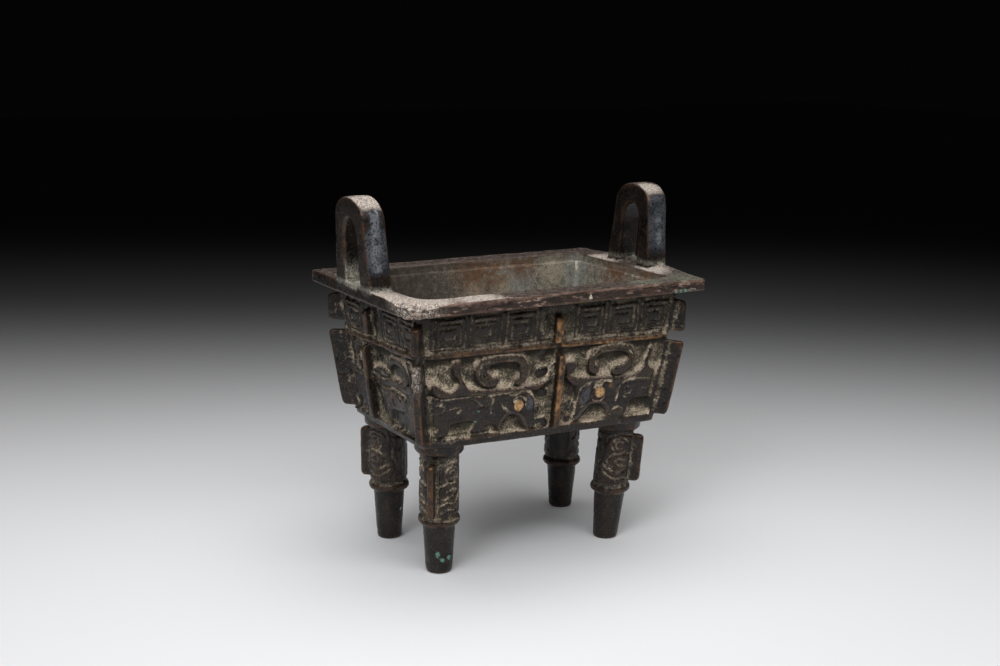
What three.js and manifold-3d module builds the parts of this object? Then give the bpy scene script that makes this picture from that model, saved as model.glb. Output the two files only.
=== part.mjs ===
import * as THREE from "three";
import { mergeVertices } from "three/addons/utils/BufferGeometryUtils.js";
import Module from "manifold-3d";

const wasm = await Module();
wasm.setup();

// Sizes in millimetres. The vessel stands on z = 0 and its long side runs along x. Places are measured from the
// middle of the rim; the finished casting is then moved so that the middle of its outline is at x = 0, y = 0.
const rimLength = 150;
const rimWidth = 99.8;
const rimThickness = 5.5;
const rimTop = 125.7;
const rimBowUp = 2.3;
const rimBowOut = 1.4;
const rimWear = 1.2;
const rimWearLength = 14;
const bodyTopLength = 132.6;
const bodyTopWidth = 81.6;
const bodyBottomLength = 116.4;
const bodyBottomWidth = 65.4;
const bodyBottom = 58;
const wallThickness = 3.5;
const floorThickness = 4.2;

// The plain band round the foot of the walls, the ridge, and the two bands of ornament between them.
const baseBandHeight = 4.3;
const baseBandRise = 1;
const ridgeHeight = 2.6;
const ridgeLow = 99;
const ridgeRise = 2;
const cornerMargin = 3.4;
const sink = 1;

// Nested squares of the upper band.
const squareRise = 1;
const squareLine = 1.5;
const squareGap = 1.25;
const squareFoot = 3.6;
const squareTurns = 2;
const squarePitch = 17.2;
const squareInset = 9.6;
const barWidth = 1.2;

// The animal mask of the lower band: heights over the wall, line widths, and places as shares of a half wall.
const maskRise = 1.4;
const hornWidth = 4.2;
const browWidth = 3.4;
const stemWidth = 3;
const jawWidth = 2.2;
const curlWidth = 2;
const plateRise = 0.6;
const plateIn = 0.5;
const hornIn = 0.25;
const hornOut = 0.69;
const hornFoot = 0.65;
const hornHead = 0.95;
const browLevel = 0.57;
const stemPlace = 0.81;
const eyePlace = 0.35;
const eyeLevel = 0.38;
const eyeRadius = 2.5;
const eyeRise = 3;
const jawIn = 0.19;
const jawOut = 0.42;
const jawLevel = 0.25;
const curlPlace = 0.74;
const curlLevel = 0.3;
const noseSize = 2.6;

// How far the middle of the ornament lies from the middle of each wall: the upper band first, then the mask.
const frontMiddle = [2.2, 4];
const backMiddle = [-1.5, -2];
const leftMiddle = [7, 10];
const rightMiddle = [-7, -8];

// Flanges at the corners and at the middle of each wall, in an upper and a lower length.
const flangeThickness = 3.3;
const upperFlangeLow = 102;
const upperFlangeHigh = 115;
const upperFlangeReach = 7.2;
const lowerFlangeTop = 97;
const lowerFlangeLow = 62;
const lowerFlangeReach = 8.2;
const flangeTaper = 2.2;
const middleFlangeShare = 0.62;

// Handles, each an upright loop on a short side of the rim that leans a little outwards.
const handleThickness = 10.8;
const handleShoulder = 155.5;
const handleTop = 164.2;
const handleHoleWidth = 14;
const handleHoleShoulderWidth = 11;
const handleHoleTop = 155.4;
const handleFlare = 2.2;
const leftHandle = { side: -1, face: 64.4, middle: 3.7, width: 35.6, shoulderWidth: 28.2 };
const rightHandle = { side: 1, face: 66, middle: -0.8, width: 33.6, shoulderWidth: 26.4 };

// Legs: round, with a collar at the top, a ring below the ornament and a plain tapered foot.
const legRadius = 8.1;
const legCollarRadius = 11;
const legRingRadius = 9.1;
const legRingLevel = 24.2;
const legRingHeight = 3.6;
const footTopRadius = 7.2;
const footBottomRadius = 5.6;
const legFlangeLow = 27.5;
const legFlangeHigh = 50.5;
const legFlangeReach = 5.4;
const legFlangeThickness = 2.8;
const legReliefRise = 0.9;
const legReliefWidth = 1.5;
const legSides = 16;

// Where each leg stands and where it meets the body; they were cast a little askew.
const legs = [
  { side: [-1, -1], foot: [-46.9, -24], head: [-46.4, -22.6], lift: 0 },
  { side: [-1, 1], foot: [-47.6, 25], head: [-49, 23], lift: 2 },
  { side: [1, -1], foot: [42.6, -23], head: [47.8, -22.8], lift: 0.4 },
  { side: [1, 1], foot: [47.4, 24], head: [47, 22.8], lift: 0 },
];

const rimUnder = rimTop - rimThickness;
const panelLow = bodyBottom + baseBandHeight;
const panelHigh = ridgeLow;
const bandLow = ridgeLow + ridgeHeight;

function mix(a, b, t) {
  return a + (b - a) * t;
}

function halfLengthAt(z) {
  return mix(bodyBottomLength, bodyTopLength, (z - bodyBottom) / (rimUnder - bodyBottom)) / 2;
}

function halfWidthAt(z) {
  return mix(bodyBottomWidth, bodyTopWidth, (z - bodyBottom) / (rimUnder - bodyBottom)) / 2;
}

// A closed three.js geometry as a solid, turned to face outwards.
function toSolid(geometry) {
  const bare = geometry.clone();
  bare.deleteAttribute("normal");
  bare.deleteAttribute("uv");
  const merged = mergeVertices(bare, 1e-4);
  const position = merged.attributes.position;
  const index = merged.index.array;
  const kept = [];
  const corners = [new THREE.Vector3(), new THREE.Vector3(), new THREE.Vector3()];
  let volume = 0;
  for (let i = 0; i < index.length; i += 3) {
    const [a, b, c] = [index[i], index[i + 1], index[i + 2]];
    if (a === b || b === c || a === c) continue;
    kept.push(a, b, c);
    corners.forEach((corner, k) => corner.fromBufferAttribute(position, index[i + k]));
    volume += corners[0].dot(corners[1].clone().cross(corners[2])) / 6;
  }
  const triVerts = new Uint32Array(kept);
  if (volume < 0) triVerts.reverse();
  const vertProperties = new Float32Array(position.array);
  return new wasm.Manifold(new wasm.Mesh({ numProp: 3, vertProperties, triVerts }));
}

// A body lofted through rings of points, either capped at both ends or closed on itself.
function loft(rings, closed = false) {
  const count = rings[0].length;
  const points = rings.flat().flatMap((p) => [p.x, p.y, p.z]);
  const faces = [];
  const spans = closed ? rings.length : rings.length - 1;
  for (let i = 0; i < spans; i++) {
    const next = (i + 1) % rings.length;
    for (let k = 0; k < count; k++) {
      const a = i * count + k;
      const b = i * count + ((k + 1) % count);
      const c = next * count + ((k + 1) % count);
      const d = next * count + k;
      faces.push(a, b, c, a, c, d);
    }
  }
  if (!closed) {
    const last = (rings.length - 1) * count;
    for (let k = 1; k < count - 1; k++) {
      faces.push(0, k + 1, k);
      faces.push(last, last + k, last + k + 1);
    }
  }
  const geometry = new THREE.BufferGeometry();
  geometry.setAttribute("position", new THREE.Float32BufferAttribute(points, 3));
  geometry.setIndex(faces);
  return toSolid(geometry);
}

// A tapered block between two levels.
function taperedBlock(halfX, halfY, z0, z1) {
  const ring = (z) => [
    new THREE.Vector3(-halfX(z), -halfY(z), z),
    new THREE.Vector3(halfX(z), -halfY(z), z),
    new THREE.Vector3(halfX(z), halfY(z), z),
    new THREE.Vector3(-halfX(z), halfY(z), z),
  ];
  return loft([ring(z0), ring(z1)]);
}

// A raised line: a path in the flat of a surface, given width and rise by the surface's own placing function.
function ribbon(path, width, rise, place, depth = sink) {
  const normals = path.slice(1).map(([u, v], i) => {
    const [u0, v0] = path[i];
    return new THREE.Vector2(v0 - v, u - u0).normalize();
  });
  const rings = path.map(([u, v], i) => {
    const before = normals[Math.max(0, i - 1)];
    const after = normals[Math.min(normals.length - 1, i)];
    const across = before.clone().add(after).normalize();
    across.multiplyScalar(width / 2 / Math.max(0.6, across.dot(after)));
    return [
      place(u - across.x, v - across.y, -depth),
      place(u + across.x, v + across.y, -depth),
      place(u + across.x, v + across.y, rise),
      place(u - across.x, v - across.y, rise),
    ];
  });
  return loft(rings);
}

// The four walls in halves: each half places (u along, v up, w out), with u running from the middle of the ornament
// towards a corner, and knows how much room it has.
const walls = [];
function addWall(long, end, middles, band) {
  for (const hand of [-1, 1]) {
    const middle = middles[band];
    const half = long ? halfLengthAt : halfWidthAt;
    const depth = long ? halfWidthAt : halfLengthAt;
    walls.push({
      band,
      room: (z) => half(z) - cornerMargin - hand * middle,
      place: (u, v, w) => {
        const along = middle + hand * u;
        const out = end * (depth(v) + w);
        return long ? new THREE.Vector3(along, out, v) : new THREE.Vector3(out, along, v);
      },
    });
  }
}
for (const band of [0, 1]) {
  addWall(true, -1, frontMiddle, band);
  addWall(true, 1, backMiddle, band);
  addWall(false, -1, leftMiddle, band);
  addWall(false, 1, rightMiddle, band);
}

// One nested square, drawn as a single line that winds inwards.
function nestedSquare(centre, level, size, place) {
  const step = squareLine + squareGap;
  const path = [];
  for (let turn = 0; turn < squareTurns; turn++) {
    const half = size / 2 - squareLine / 2 - turn * step;
    path.push([turn === 0 ? -half : -half - step, half], [half, half], [half, -half], [-half, -half]);
  }
  const placed = path.map(([u, v]) => [centre + u, level + v]);
  return ribbon(placed, squareLine, squareRise, place);
}

// The upper band on a half wall: squares with upright bars beside them, and a line below.
function upperBand({ room, place }) {
  const low = bandLow + squareFoot;
  const high = rimUnder - 0.6;
  const level = (low + high) / 2 - 0.4;
  const size = Math.min(high - low - 1.6, squarePitch - 3.6);
  const count = Math.floor((room(level) - squareInset + 2.6) / squarePitch);
  const made = [];
  for (let i = 0; i < count; i++) {
    const centre = squareInset + squarePitch * (i + 0.5);
    made.push(nestedSquare(centre, level, size, place));
    const bar = centre - squarePitch / 2;
    made.push(ribbon([[bar, low], [bar, high]], barWidth, squareRise, place));
  }
  const line = [
    [flangeThickness / 2, bandLow + 2.1],
    [room(bandLow), bandLow + 2.1],
  ];
  made.push(ribbon(line, 1.3, squareRise, place));
  return made;
}

// Points on an arc of an ellipse, angles in turns.
function arc(cu, cv, ru, rv, from, to, steps) {
  return Array.from({ length: steps + 1 }, (_, i) => {
    const angle = mix(from, to, i / steps) * 2 * Math.PI;
    return [cu + ru * Math.cos(angle), cv + rv * Math.sin(angle)];
  });
}

// Half of the mask: horn, brow, stem, eye in its socket, jaw, curls on the cheek and knobs of the nose.
function maskHalf({ room, place }) {
  const height = panelHigh - panelLow;
  const middle = panelLow + height / 2;
  const span = room(middle);
  const thin = Math.min(1, 0.5 + span / 120);
  const at = (share, level) => [share * span, panelLow + level * height];
  const [hornCentre, hornLevel] = at((hornIn + hornOut) / 2, (hornFoot + hornHead) / 2);
  const hornHalf = ((hornOut - hornIn) * span - hornWidth * thin) / 2;
  const hornTall = ((hornHead - hornFoot) * height) / 2;
  const horn = [
    [hornCentre - hornHalf * 0.62, hornLevel - hornTall],
    ...arc(hornCentre, hornLevel, hornHalf, hornTall, 0.56, -0.06, 9),
    [hornCentre + hornHalf * 0.62, hornLevel - hornTall],
  ];
  const brow = [
    at(0.08, browLevel + 0.04),
    at(0.2, browLevel - 0.01),
    at(0.5, browLevel - 0.02),
    at(0.74, browLevel + 0.03),
    at(0.98, browLevel + 0.14),
  ];
  const stem = [at(stemPlace - 0.05, browLevel + 0.06), at(stemPlace - 0.03, 0.82), at(stemPlace, 0.97)];
  const [jawCentre, jawFoot] = at((jawIn + jawOut) / 2, 0.02);
  const jaw = arc(jawCentre, jawFoot, ((jawOut - jawIn) * span) / 2, jawLevel * height, 0.5, 0, 6);
  const [curlCentre, curlMiddle] = at(curlPlace, curlLevel);
  const curlHalf = 0.17 * span;
  const curl = [
    ...arc(curlCentre, curlMiddle, curlHalf, 5.2, 0.42, -0.16, 6),
    [curlCentre - curlHalf * 0.5, curlMiddle - 4.6],
  ];
  const made = [
    ribbon(horn, hornWidth * thin, maskRise, place),
    ribbon(brow, browWidth, maskRise, place),
    ribbon(stem, stemWidth * thin, maskRise, place),
    ribbon(jaw, jawWidth, maskRise, place),
    ribbon(curl, curlWidth, maskRise, place),
  ];
  const [eyeU, eyeV] = at(eyePlace, eyeLevel);
  const socket = [
    [eyeU - 0.15 * span, eyeV - 1],
    [eyeU + 0.14 * span, eyeV + 1.4],
  ];
  made.push(ribbon(socket, 8.4, plateRise, place));
  const plate = [at(plateIn, curlLevel + 0.02), at(0.99, curlLevel - 0.02)];
  made.push(ribbon(plate, 0.34 * height, plateRise, place));
  const knob = (share, level, radius, rise, sides) => {
    const [u, v] = at(share, level);
    const ring = (r, w) => arc(u, v, r, r, 0, 1 - 1 / sides, sides - 1).map(([a, b]) => place(a, b, w));
    return loft([ring(radius, -sink), ring(radius, rise * 0.5), ring(radius * 0.6, rise)]);
  };
  made.push(knob(eyePlace, eyeLevel, eyeRadius, eyeRise, 8));
  made.push(knob(0.11, 0.77, noseSize * thin, maskRise, 6));
  made.push(knob(0.11, 0.44, noseSize * thin, maskRise, 6));
  return made;
}

// A flat upright flange standing out from a root point along a direction, with its outline given as (reach, height).
function flange(root, direction, outline, thickness) {
  const across = new THREE.Vector3(-direction.y, direction.x, 0).multiplyScalar(thickness / 2);
  const ring = (sign) =>
    outline.map(([reach, z]) => {
      const at = root(z);
      return new THREE.Vector3(at.x, at.y, z).addScaledVector(direction, reach).addScaledVector(across, sign);
    });
  return loft([ring(-1), ring(1)]);
}

function upperFlange(root, direction, share) {
  const outline = [
    [-sink, upperFlangeLow],
    [upperFlangeReach * share, upperFlangeLow],
    [(upperFlangeReach - flangeTaper) * share, upperFlangeHigh],
    [-sink, upperFlangeHigh + 1],
  ];
  return flange(root, direction, outline, flangeThickness);
}

function lowerFlange(root, direction, share) {
  const reach = lowerFlangeReach * share;
  const outline = [
    [-sink, lowerFlangeLow],
    [reach - 0.8, lowerFlangeLow],
    [reach, lowerFlangeLow + 2],
    [reach, lowerFlangeTop - 1.4],
    [-sink, lowerFlangeTop],
  ];
  return flange(root, direction, outline, flangeThickness);
}

// The rim: a loop of four-cornered sections, bowed up and out under the right handle and worn at the near left corner.
function rimRing() {
  const halfX = rimLength / 2;
  const halfY = rimWidth / 2;
  const steps = 8;
  const inset = halfX - halfLengthAt(rimTop) + wallThickness + 2;
  const bow = (y) => Math.cos(Math.min(1, Math.abs(y) / halfY) * Math.PI * 0.5) ** 2;
  const outline = [];
  for (let i = 0; i <= steps; i++) {
    const y = mix(-halfY, halfY, i / steps);
    outline.push([halfX + rimBowOut * bow(y), y, rimBowUp * bow(y)]);
  }
  outline.push([-halfX, halfY, 0], [-halfX, -halfY + rimWearLength, 0]);
  outline.push([-halfX, -halfY, -rimWear], [-halfX + rimWearLength, -halfY, 0]);
  const rings = outline.map(([x, y, up]) => {
    const innerX = Math.sign(x) * Math.min(Math.abs(x), halfX - inset);
    const innerY = Math.sign(y) * Math.min(Math.abs(y), halfY - inset);
    return [
      new THREE.Vector3(x, y, rimUnder + Math.max(0, up)),
      new THREE.Vector3(x, y, rimTop + up),
      new THREE.Vector3(innerX, innerY, rimTop + Math.max(0, up)),
      new THREE.Vector3(innerX, innerY, rimUnder),
    ];
  });
  return loft(rings, true);
}

// A handle: an upright loop cut from a plate that faces along x.
function handle({ side, face, middle, width, shoulderWidth }, base) {
  const foot = base - 1.5;
  const shape = new THREE.Shape();
  const arch = (half, shoulder, top, steps) =>
    arc(0, shoulder, half, top - shoulder, 0, 0.5, steps).map(([y, z]) => new THREE.Vector2(y, z));
  const outer = arch(shoulderWidth / 2, handleShoulder, handleTop, 12);
  const holeShoulder = handleHoleTop - handleHoleShoulderWidth / 2;
  const inner = arch(handleHoleShoulderWidth / 2, holeShoulder, handleHoleTop, 8).reverse();
  shape.setFromPoints([
    new THREE.Vector2(width / 2, foot),
    ...outer,
    new THREE.Vector2(-width / 2, foot),
    new THREE.Vector2(-handleHoleWidth / 2, foot),
    ...inner,
    new THREE.Vector2(handleHoleWidth / 2, foot),
  ]);
  const geometry = new THREE.ExtrudeGeometry(shape, { depth: handleThickness, bevelEnabled: false });
  const lean = handleFlare / (handleTop - rimTop);
  const place = new THREE.Matrix4().set(
    0, side * lean, side, side * (face - lean * base),
    1, 0, 0, middle,
    0, 1, 0, 0,
    0, 0, 0, 1,
  );
  geometry.applyMatrix4(place);
  return toSolid(geometry);
}

// A leg: a turned body, slanted so that its foot stays flat, with a flange and raised curls on its outer side.
function leg({ side, foot, head, lift }) {
  const ringLevel = legRingLevel + lift;
  const ringTop = ringLevel + legRingHeight / 2;
  const ringLow = ringLevel - legRingHeight / 2;
  const flangeLow = legFlangeLow + lift;
  const flangeHigh = legFlangeHigh + lift;
  const profile = [
    [0, 0],
    [footBottomRadius - 0.7, 0],
    [footBottomRadius, 0.8],
    [footTopRadius, ringLow - 1],
    [legRingRadius - 0.6, ringLow],
    [legRingRadius, ringLevel],
    [legRingRadius - 0.8, ringTop - 0.3],
    [legRadius, ringTop],
    [legRadius, bodyBottom - 5],
    [legCollarRadius - 1.2, bodyBottom - 3.6],
    [legCollarRadius, bodyBottom - 1.6],
    [legCollarRadius, bodyBottom + 1],
    [0, bodyBottom + 1],
  ].map(([r, z]) => new THREE.Vector2(r, z));
  const turned = new THREE.LatheGeometry(profile, legSides);
  turned.rotateX(Math.PI / 2);
  const centreAt = (z) => [mix(foot[0], head[0], z / bodyBottom), mix(foot[1], head[1], z / bodyBottom)];
  const slant = new THREE.Matrix4().set(
    1, 0, (head[0] - foot[0]) / bodyBottom, foot[0],
    0, 1, (head[1] - foot[1]) / bodyBottom, foot[1],
    0, 0, 1, 0,
    0, 0, 0, 1,
  );
  turned.applyMatrix4(slant);
  const direction = new THREE.Vector3(side[0], side[1], 0).normalize();
  const outward = Math.atan2(side[1], side[0]);
  const surface = (hand) => (u, v, w) => {
    const [cx, cy] = centreAt(v);
    const angle = outward + (hand * u) / legRadius;
    const radius = legRadius + w;
    return new THREE.Vector3(cx + radius * Math.cos(angle), cy + radius * Math.sin(angle), v);
  };
  const outline = [
    [0, flangeLow],
    [legRadius + legFlangeReach - 0.8, flangeLow],
    [legRadius + legFlangeReach, flangeLow + 1.2],
    [legRadius + legFlangeReach, flangeHigh - 1.2],
    [legRadius + legFlangeReach - 1, flangeHigh],
    [0, flangeHigh],
  ];
  const root = (z) => new THREE.Vector3(...centreAt(z), z);
  const made = [toSolid(turned), flange(root, direction, outline, legFlangeThickness)];
  for (const hand of [-1, 1]) {
    const place = surface(hand);
    const band = flangeHigh - flangeLow;
    const level = (share) => flangeLow + share * band;
    const scroll = arc(6.2, level(0.8), 3.2, 0.14 * band, 0.5, -0.3, 6);
    const lobe = arc(6, level(0.48), 3, 0.1 * band, 0.45, -0.3, 5);
    const lowBar = [
      [2.6, level(0.2)],
      [6, level(0.28)],
      [9.6, level(0.36)],
    ];
    made.push(ribbon(scroll, legReliefWidth, legReliefRise, place));
    made.push(ribbon(lobe, legReliefWidth, legReliefRise, place));
    made.push(ribbon(lowBar, legReliefWidth, legReliefRise, place));
  }
  return made;
}

const solids = [taperedBlock(halfLengthAt, halfWidthAt, bodyBottom, rimUnder + 1.2)];
solids.push(rimRing());
solids.push(
  taperedBlock(
    (z) => halfLengthAt(z) + baseBandRise,
    (z) => halfWidthAt(z) + baseBandRise,
    bodyBottom,
    panelLow,
  ),
);
const ridgeMiddle = ridgeLow + ridgeHeight / 2;
const ridgeOut = (half) => (z) => half(z) + ridgeRise * (1 - (Math.abs(z - ridgeMiddle) / ridgeHeight) * 0.7);
solids.push(taperedBlock(ridgeOut(halfLengthAt), ridgeOut(halfWidthAt), ridgeLow, ridgeMiddle));
solids.push(taperedBlock(ridgeOut(halfLengthAt), ridgeOut(halfWidthAt), ridgeMiddle, bandLow));

for (const wall of walls) {
  solids.push(...(wall.band === 0 ? upperBand(wall) : maskHalf(wall)));
}

function addFlanges(sx, sy, middles, share) {
  const direction = new THREE.Vector3(sx, sy, 0).normalize();
  const root = (band) => (z) => {
    const x = sx === 0 ? middles[band] : sx * halfLengthAt(z);
    const y = sy === 0 ? middles[band] : sy * halfWidthAt(z);
    return new THREE.Vector3(x, y, z);
  };
  solids.push(upperFlange(root(0), direction, share));
  solids.push(lowerFlange(root(1), direction, share));
}
for (const sx of [-1, 1]) {
  for (const sy of [-1, 1]) {
    addFlanges(sx, sy, [0, 0], 1);
  }
}
addFlanges(0, -1, frontMiddle, middleFlangeShare);
addFlanges(0, 1, backMiddle, middleFlangeShare);
addFlanges(-1, 0, leftMiddle, middleFlangeShare);
addFlanges(1, 0, rightMiddle, middleFlangeShare);

solids.push(handle(leftHandle, rimTop));
solids.push(handle(rightHandle, rimTop + rimBowUp));
legs.forEach((one) => solids.push(...leg(one)));

const cavity = taperedBlock(
  (z) => halfLengthAt(z) - wallThickness,
  (z) => halfWidthAt(z) - wallThickness,
  bodyBottom + floorThickness,
  rimTop + rimBowUp + 1,
);
const whole = wasm.Manifold.union(solids).subtract(cavity);
const outline = whole.boundingBox();
const cast = whole.translate([
  -(outline.min[0] + outline.max[0]) / 2,
  -(outline.min[1] + outline.max[1]) / 2,
  -outline.min[2],
]);

function toGeometry(solid) {
  const mesh = solid.getMesh();
  const points = new Float32Array(mesh.numVert * 3);
  for (let i = 0; i < mesh.numVert; i++) {
    points.set(mesh.vertProperties.subarray(i * mesh.numProp, i * mesh.numProp + 3), i * 3);
  }
  const geometry = new THREE.BufferGeometry();
  geometry.setAttribute("position", new THREE.BufferAttribute(points, 3));
  geometry.setIndex(new THREE.BufferAttribute(new Uint32Array(mesh.triVerts), 1));
  return geometry;
}

const bronze = new THREE.MeshStandardMaterial({ color: "#4a3f36", roughness: 0.55, metalness: 0.75 });
const ding = new THREE.Mesh(toGeometry(cast), bronze);
ding.name = "square_ding";

const group = new THREE.Group();
group.name = "square_ding_vessel";
group.add(ding);

export default group;
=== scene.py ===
import itertools
import math

import bpy
import numpy as np
from mathutils import Matrix, Vector


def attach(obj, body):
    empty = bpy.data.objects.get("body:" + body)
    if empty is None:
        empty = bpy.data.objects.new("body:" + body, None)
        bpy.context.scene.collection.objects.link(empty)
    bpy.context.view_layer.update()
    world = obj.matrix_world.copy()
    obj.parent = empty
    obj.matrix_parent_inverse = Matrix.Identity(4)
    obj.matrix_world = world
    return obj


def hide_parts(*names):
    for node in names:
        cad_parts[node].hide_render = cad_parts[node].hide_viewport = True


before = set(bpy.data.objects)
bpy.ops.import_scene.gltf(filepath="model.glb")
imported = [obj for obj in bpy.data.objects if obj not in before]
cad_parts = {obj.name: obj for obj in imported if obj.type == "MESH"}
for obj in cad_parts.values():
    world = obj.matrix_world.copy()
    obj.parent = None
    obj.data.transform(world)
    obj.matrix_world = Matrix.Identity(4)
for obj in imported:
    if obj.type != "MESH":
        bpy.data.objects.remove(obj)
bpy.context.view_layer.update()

# The vessel is modelled in millimetres from the middle of the rim, and turned into metres at the end.
MM = 0.001
VOXEL = 0.42
MOST_TRIANGLES = 196000
SEED = 7
# Shares of the triangles for surfaces that hardly show, plain ones, and carving on the far sides and legs.
HIDDEN_SHARE = 0.07
PLAIN_SHARE = 0.32
FAR_SHARE = 0.22

# Driving sizes of the casting.
RIM_LENGTH = 150.0
RIM_WIDTH = 99.8
RIM_TOP = 125.7
RIM_UNDER = 120.2
RIM_BOW_UP = 2.3
RIM_BOW_OUT = 1.4
RIM_CORNERS = {(-1, -1): 2.6, (1, -1): 0.7, (1, 1): 4.0, (-1, 1): 0.7}
BODY_TOP = (132.6, 81.6)
BODY_FOOT = (116.4, 65.4)
BODY_BOTTOM = 58.0
BODY_FOOT_EASE = 0.7
WALL = 3.5
FLOOR = 4.2
BASE_BAND_TOP = 62.4
BASE_BAND_RISE = 1.5
CAVITY_CORNERS = {(-1, -1): 10.0, (1, -1): 4.0, (1, 1): 2.5, (-1, 1): 5.0}
CAVITY_FOOT_RADIUS = 4.0
PLATEAU = 1.9
RIDGE_RISE = 2.0
# How far the right end of the body hangs down, per millimetre along.
TILT = 0.0185

# Flanges: thickness, reach and levels, as on the solid, and how deep they are rooted.
SINK = 1.6
CORNER_UPPER = dict(thick=3.3, reach=7.2, head=5.0, low=102.0, high=115.0)
CORNER_LOWER = dict(thick=3.3, reach=8.2, low=62.0, high=97.0)
MIDDLE_UPPER = dict(thick=3.8, reach=3.9, head=3.6, low=101.4, high=113.5)
MIDDLE_LOWER = dict(thick=2.9, reach=5.1, low=61.8, high=95.6)
MIDDLES = {"front": (2.2, 4.2), "back": (-1.5, -2.0), "left": (7.0, 10.0), "right": (-7.0, -8.0)}

# Handles, the left one first, with half widths at foot and shoulder.
HANDLE_SINK = 2.0
HANDLE_THICK = 10.8
HANDLE_SHOULDER = 155.5
HANDLE_TOP = 164.2
HOLE_HALF = (7.2, 6.7)
HOLE_TOP = 154.8
HANDLE_FLARE = 2.2
HANDLES = [
    dict(side=-1, face=64.4, middle=3.7, foot=17.8, shoulder=14.1, base=RIM_TOP),
    dict(side=1, face=66.0, middle=-0.8, foot=16.8, shoulder=13.2, base=RIM_TOP + RIM_BOW_UP),
]

# Legs: where each one's axis meets the ground and the body, and how much higher its ring sits.
LEG_RADIUS = 8.1
LEG_RING = 24.2
LEG_FLANGE = dict(thick=2.8, reach=5.4, low=27.5, high=50.5)
LEGS = [
    dict(side=(-1, -1), foot=(-46.9, -24.0), head=(-46.4, -22.6), lift=0.0),
    dict(side=(-1, 1), foot=(-47.6, 25.0), head=(-49.0, 23.0), lift=2.0),
    dict(side=(1, -1), foot=(42.6, -23.0), head=(47.8, -22.8), lift=0.4),
    dict(side=(1, 1), foot=(47.4, 24.0), head=(47.0, 22.8), lift=0.0),
]


def mix(a, b, t):
    return a + (b - a) * t


def smooth(low, high, value):
    """0 below low, 1 above high, and an even rise between them."""
    t = np.clip((value - low) / (high - low), 0, 1)
    return t * t * (3 - 2 * t)


def half_length(z):
    return mix(BODY_FOOT[0], BODY_TOP[0], (z - BODY_BOTTOM) / (RIM_UNDER - BODY_BOTTOM)) / 2


def half_width(z):
    return mix(BODY_FOOT[1], BODY_TOP[1], (z - BODY_BOTTOM) / (RIM_UNDER - BODY_BOTTOM)) / 2


def sag(x, z):
    """The casting's body hangs a little lower towards its right end."""
    weight = smooth(38, BODY_BOTTOM, z) * (1 - smooth(104, RIM_UNDER - 2, z))
    return -TILT * x * weight


NOISE_SIDE = 32
NOISE_TABLES = {}


def noise(points, size, seed=0):
    """Smooth noise from -1 to 1 whose features are about as wide as size."""
    if seed not in NOISE_TABLES:
        made = np.random.default_rng(SEED + seed)
        NOISE_TABLES[seed] = made.uniform(-1, 1, (NOISE_SIDE,) * 3)
    table = NOISE_TABLES[seed]
    place = np.asarray(points, float) / size
    low = np.floor(place).astype(int)
    share = place - low
    share = share * share * (3 - 2 * share)
    total = np.zeros(len(place))
    for corner in itertools.product((0, 1), repeat=3):
        weight = np.ones(len(place))
        index = []
        for axis, step in enumerate(corner):
            weight = weight * (share[:, axis] if step else 1 - share[:, axis])
            index.append((low[:, axis] + step) % NOISE_SIDE)
        total += weight * table[tuple(index)]
    return total


def layered_noise(points, size, seed=0, layers=3):
    total = 0
    for k in range(layers):
        total = total + noise(points, size / 2**k, seed + k) / 2**k
    return total


def curve(points, closed=False, steps=5):
    """A smooth curve through a few points."""
    p = np.asarray(points, float)
    if len(p) < 3:
        return p
    before = np.roll(p, 1, 0)
    after = np.roll(p, -1, 0)
    after2 = np.roll(p, -2, 0)
    if not closed:
        before[0] = p[0]
        after[-1] = p[-1]
        after2[-2:] = p[-1]
    made = []
    for i in range(len(p) if closed else len(p) - 1):
        for t in np.arange(steps) / steps:
            a = 2 * p[i]
            b = after[i] - before[i]
            c = 2 * before[i] - 5 * p[i] + 4 * after[i] - after2[i]
            d = -before[i] + 3 * p[i] - 3 * after[i] + after2[i]
            made.append((a + b * t + c * t * t + d * t**3) / 2)
    if not closed:
        made.append(p[-1])
    return np.array(made)


def arc(cu, cv, ru, rv, start, end, steps=10):
    """Points on an ellipse, angles in degrees."""
    angle = np.radians(np.linspace(start, end, steps + 1))
    return np.stack([cu + ru * np.cos(angle), cv + rv * np.sin(angle)], 1)


CELL = 0.2
CHANNELS = 7
# SHADE is painted shade under raised edges, the ledge channel a painted highlight along their tops, and LIT
# painted light on the ground.
HEIGHT, DIRT, RUB, GREY, SHADE, LEDGE_HIGHLIGHT, LIT = range(CHANNELS)
GROOVE_DEPTH = 1.5


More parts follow.
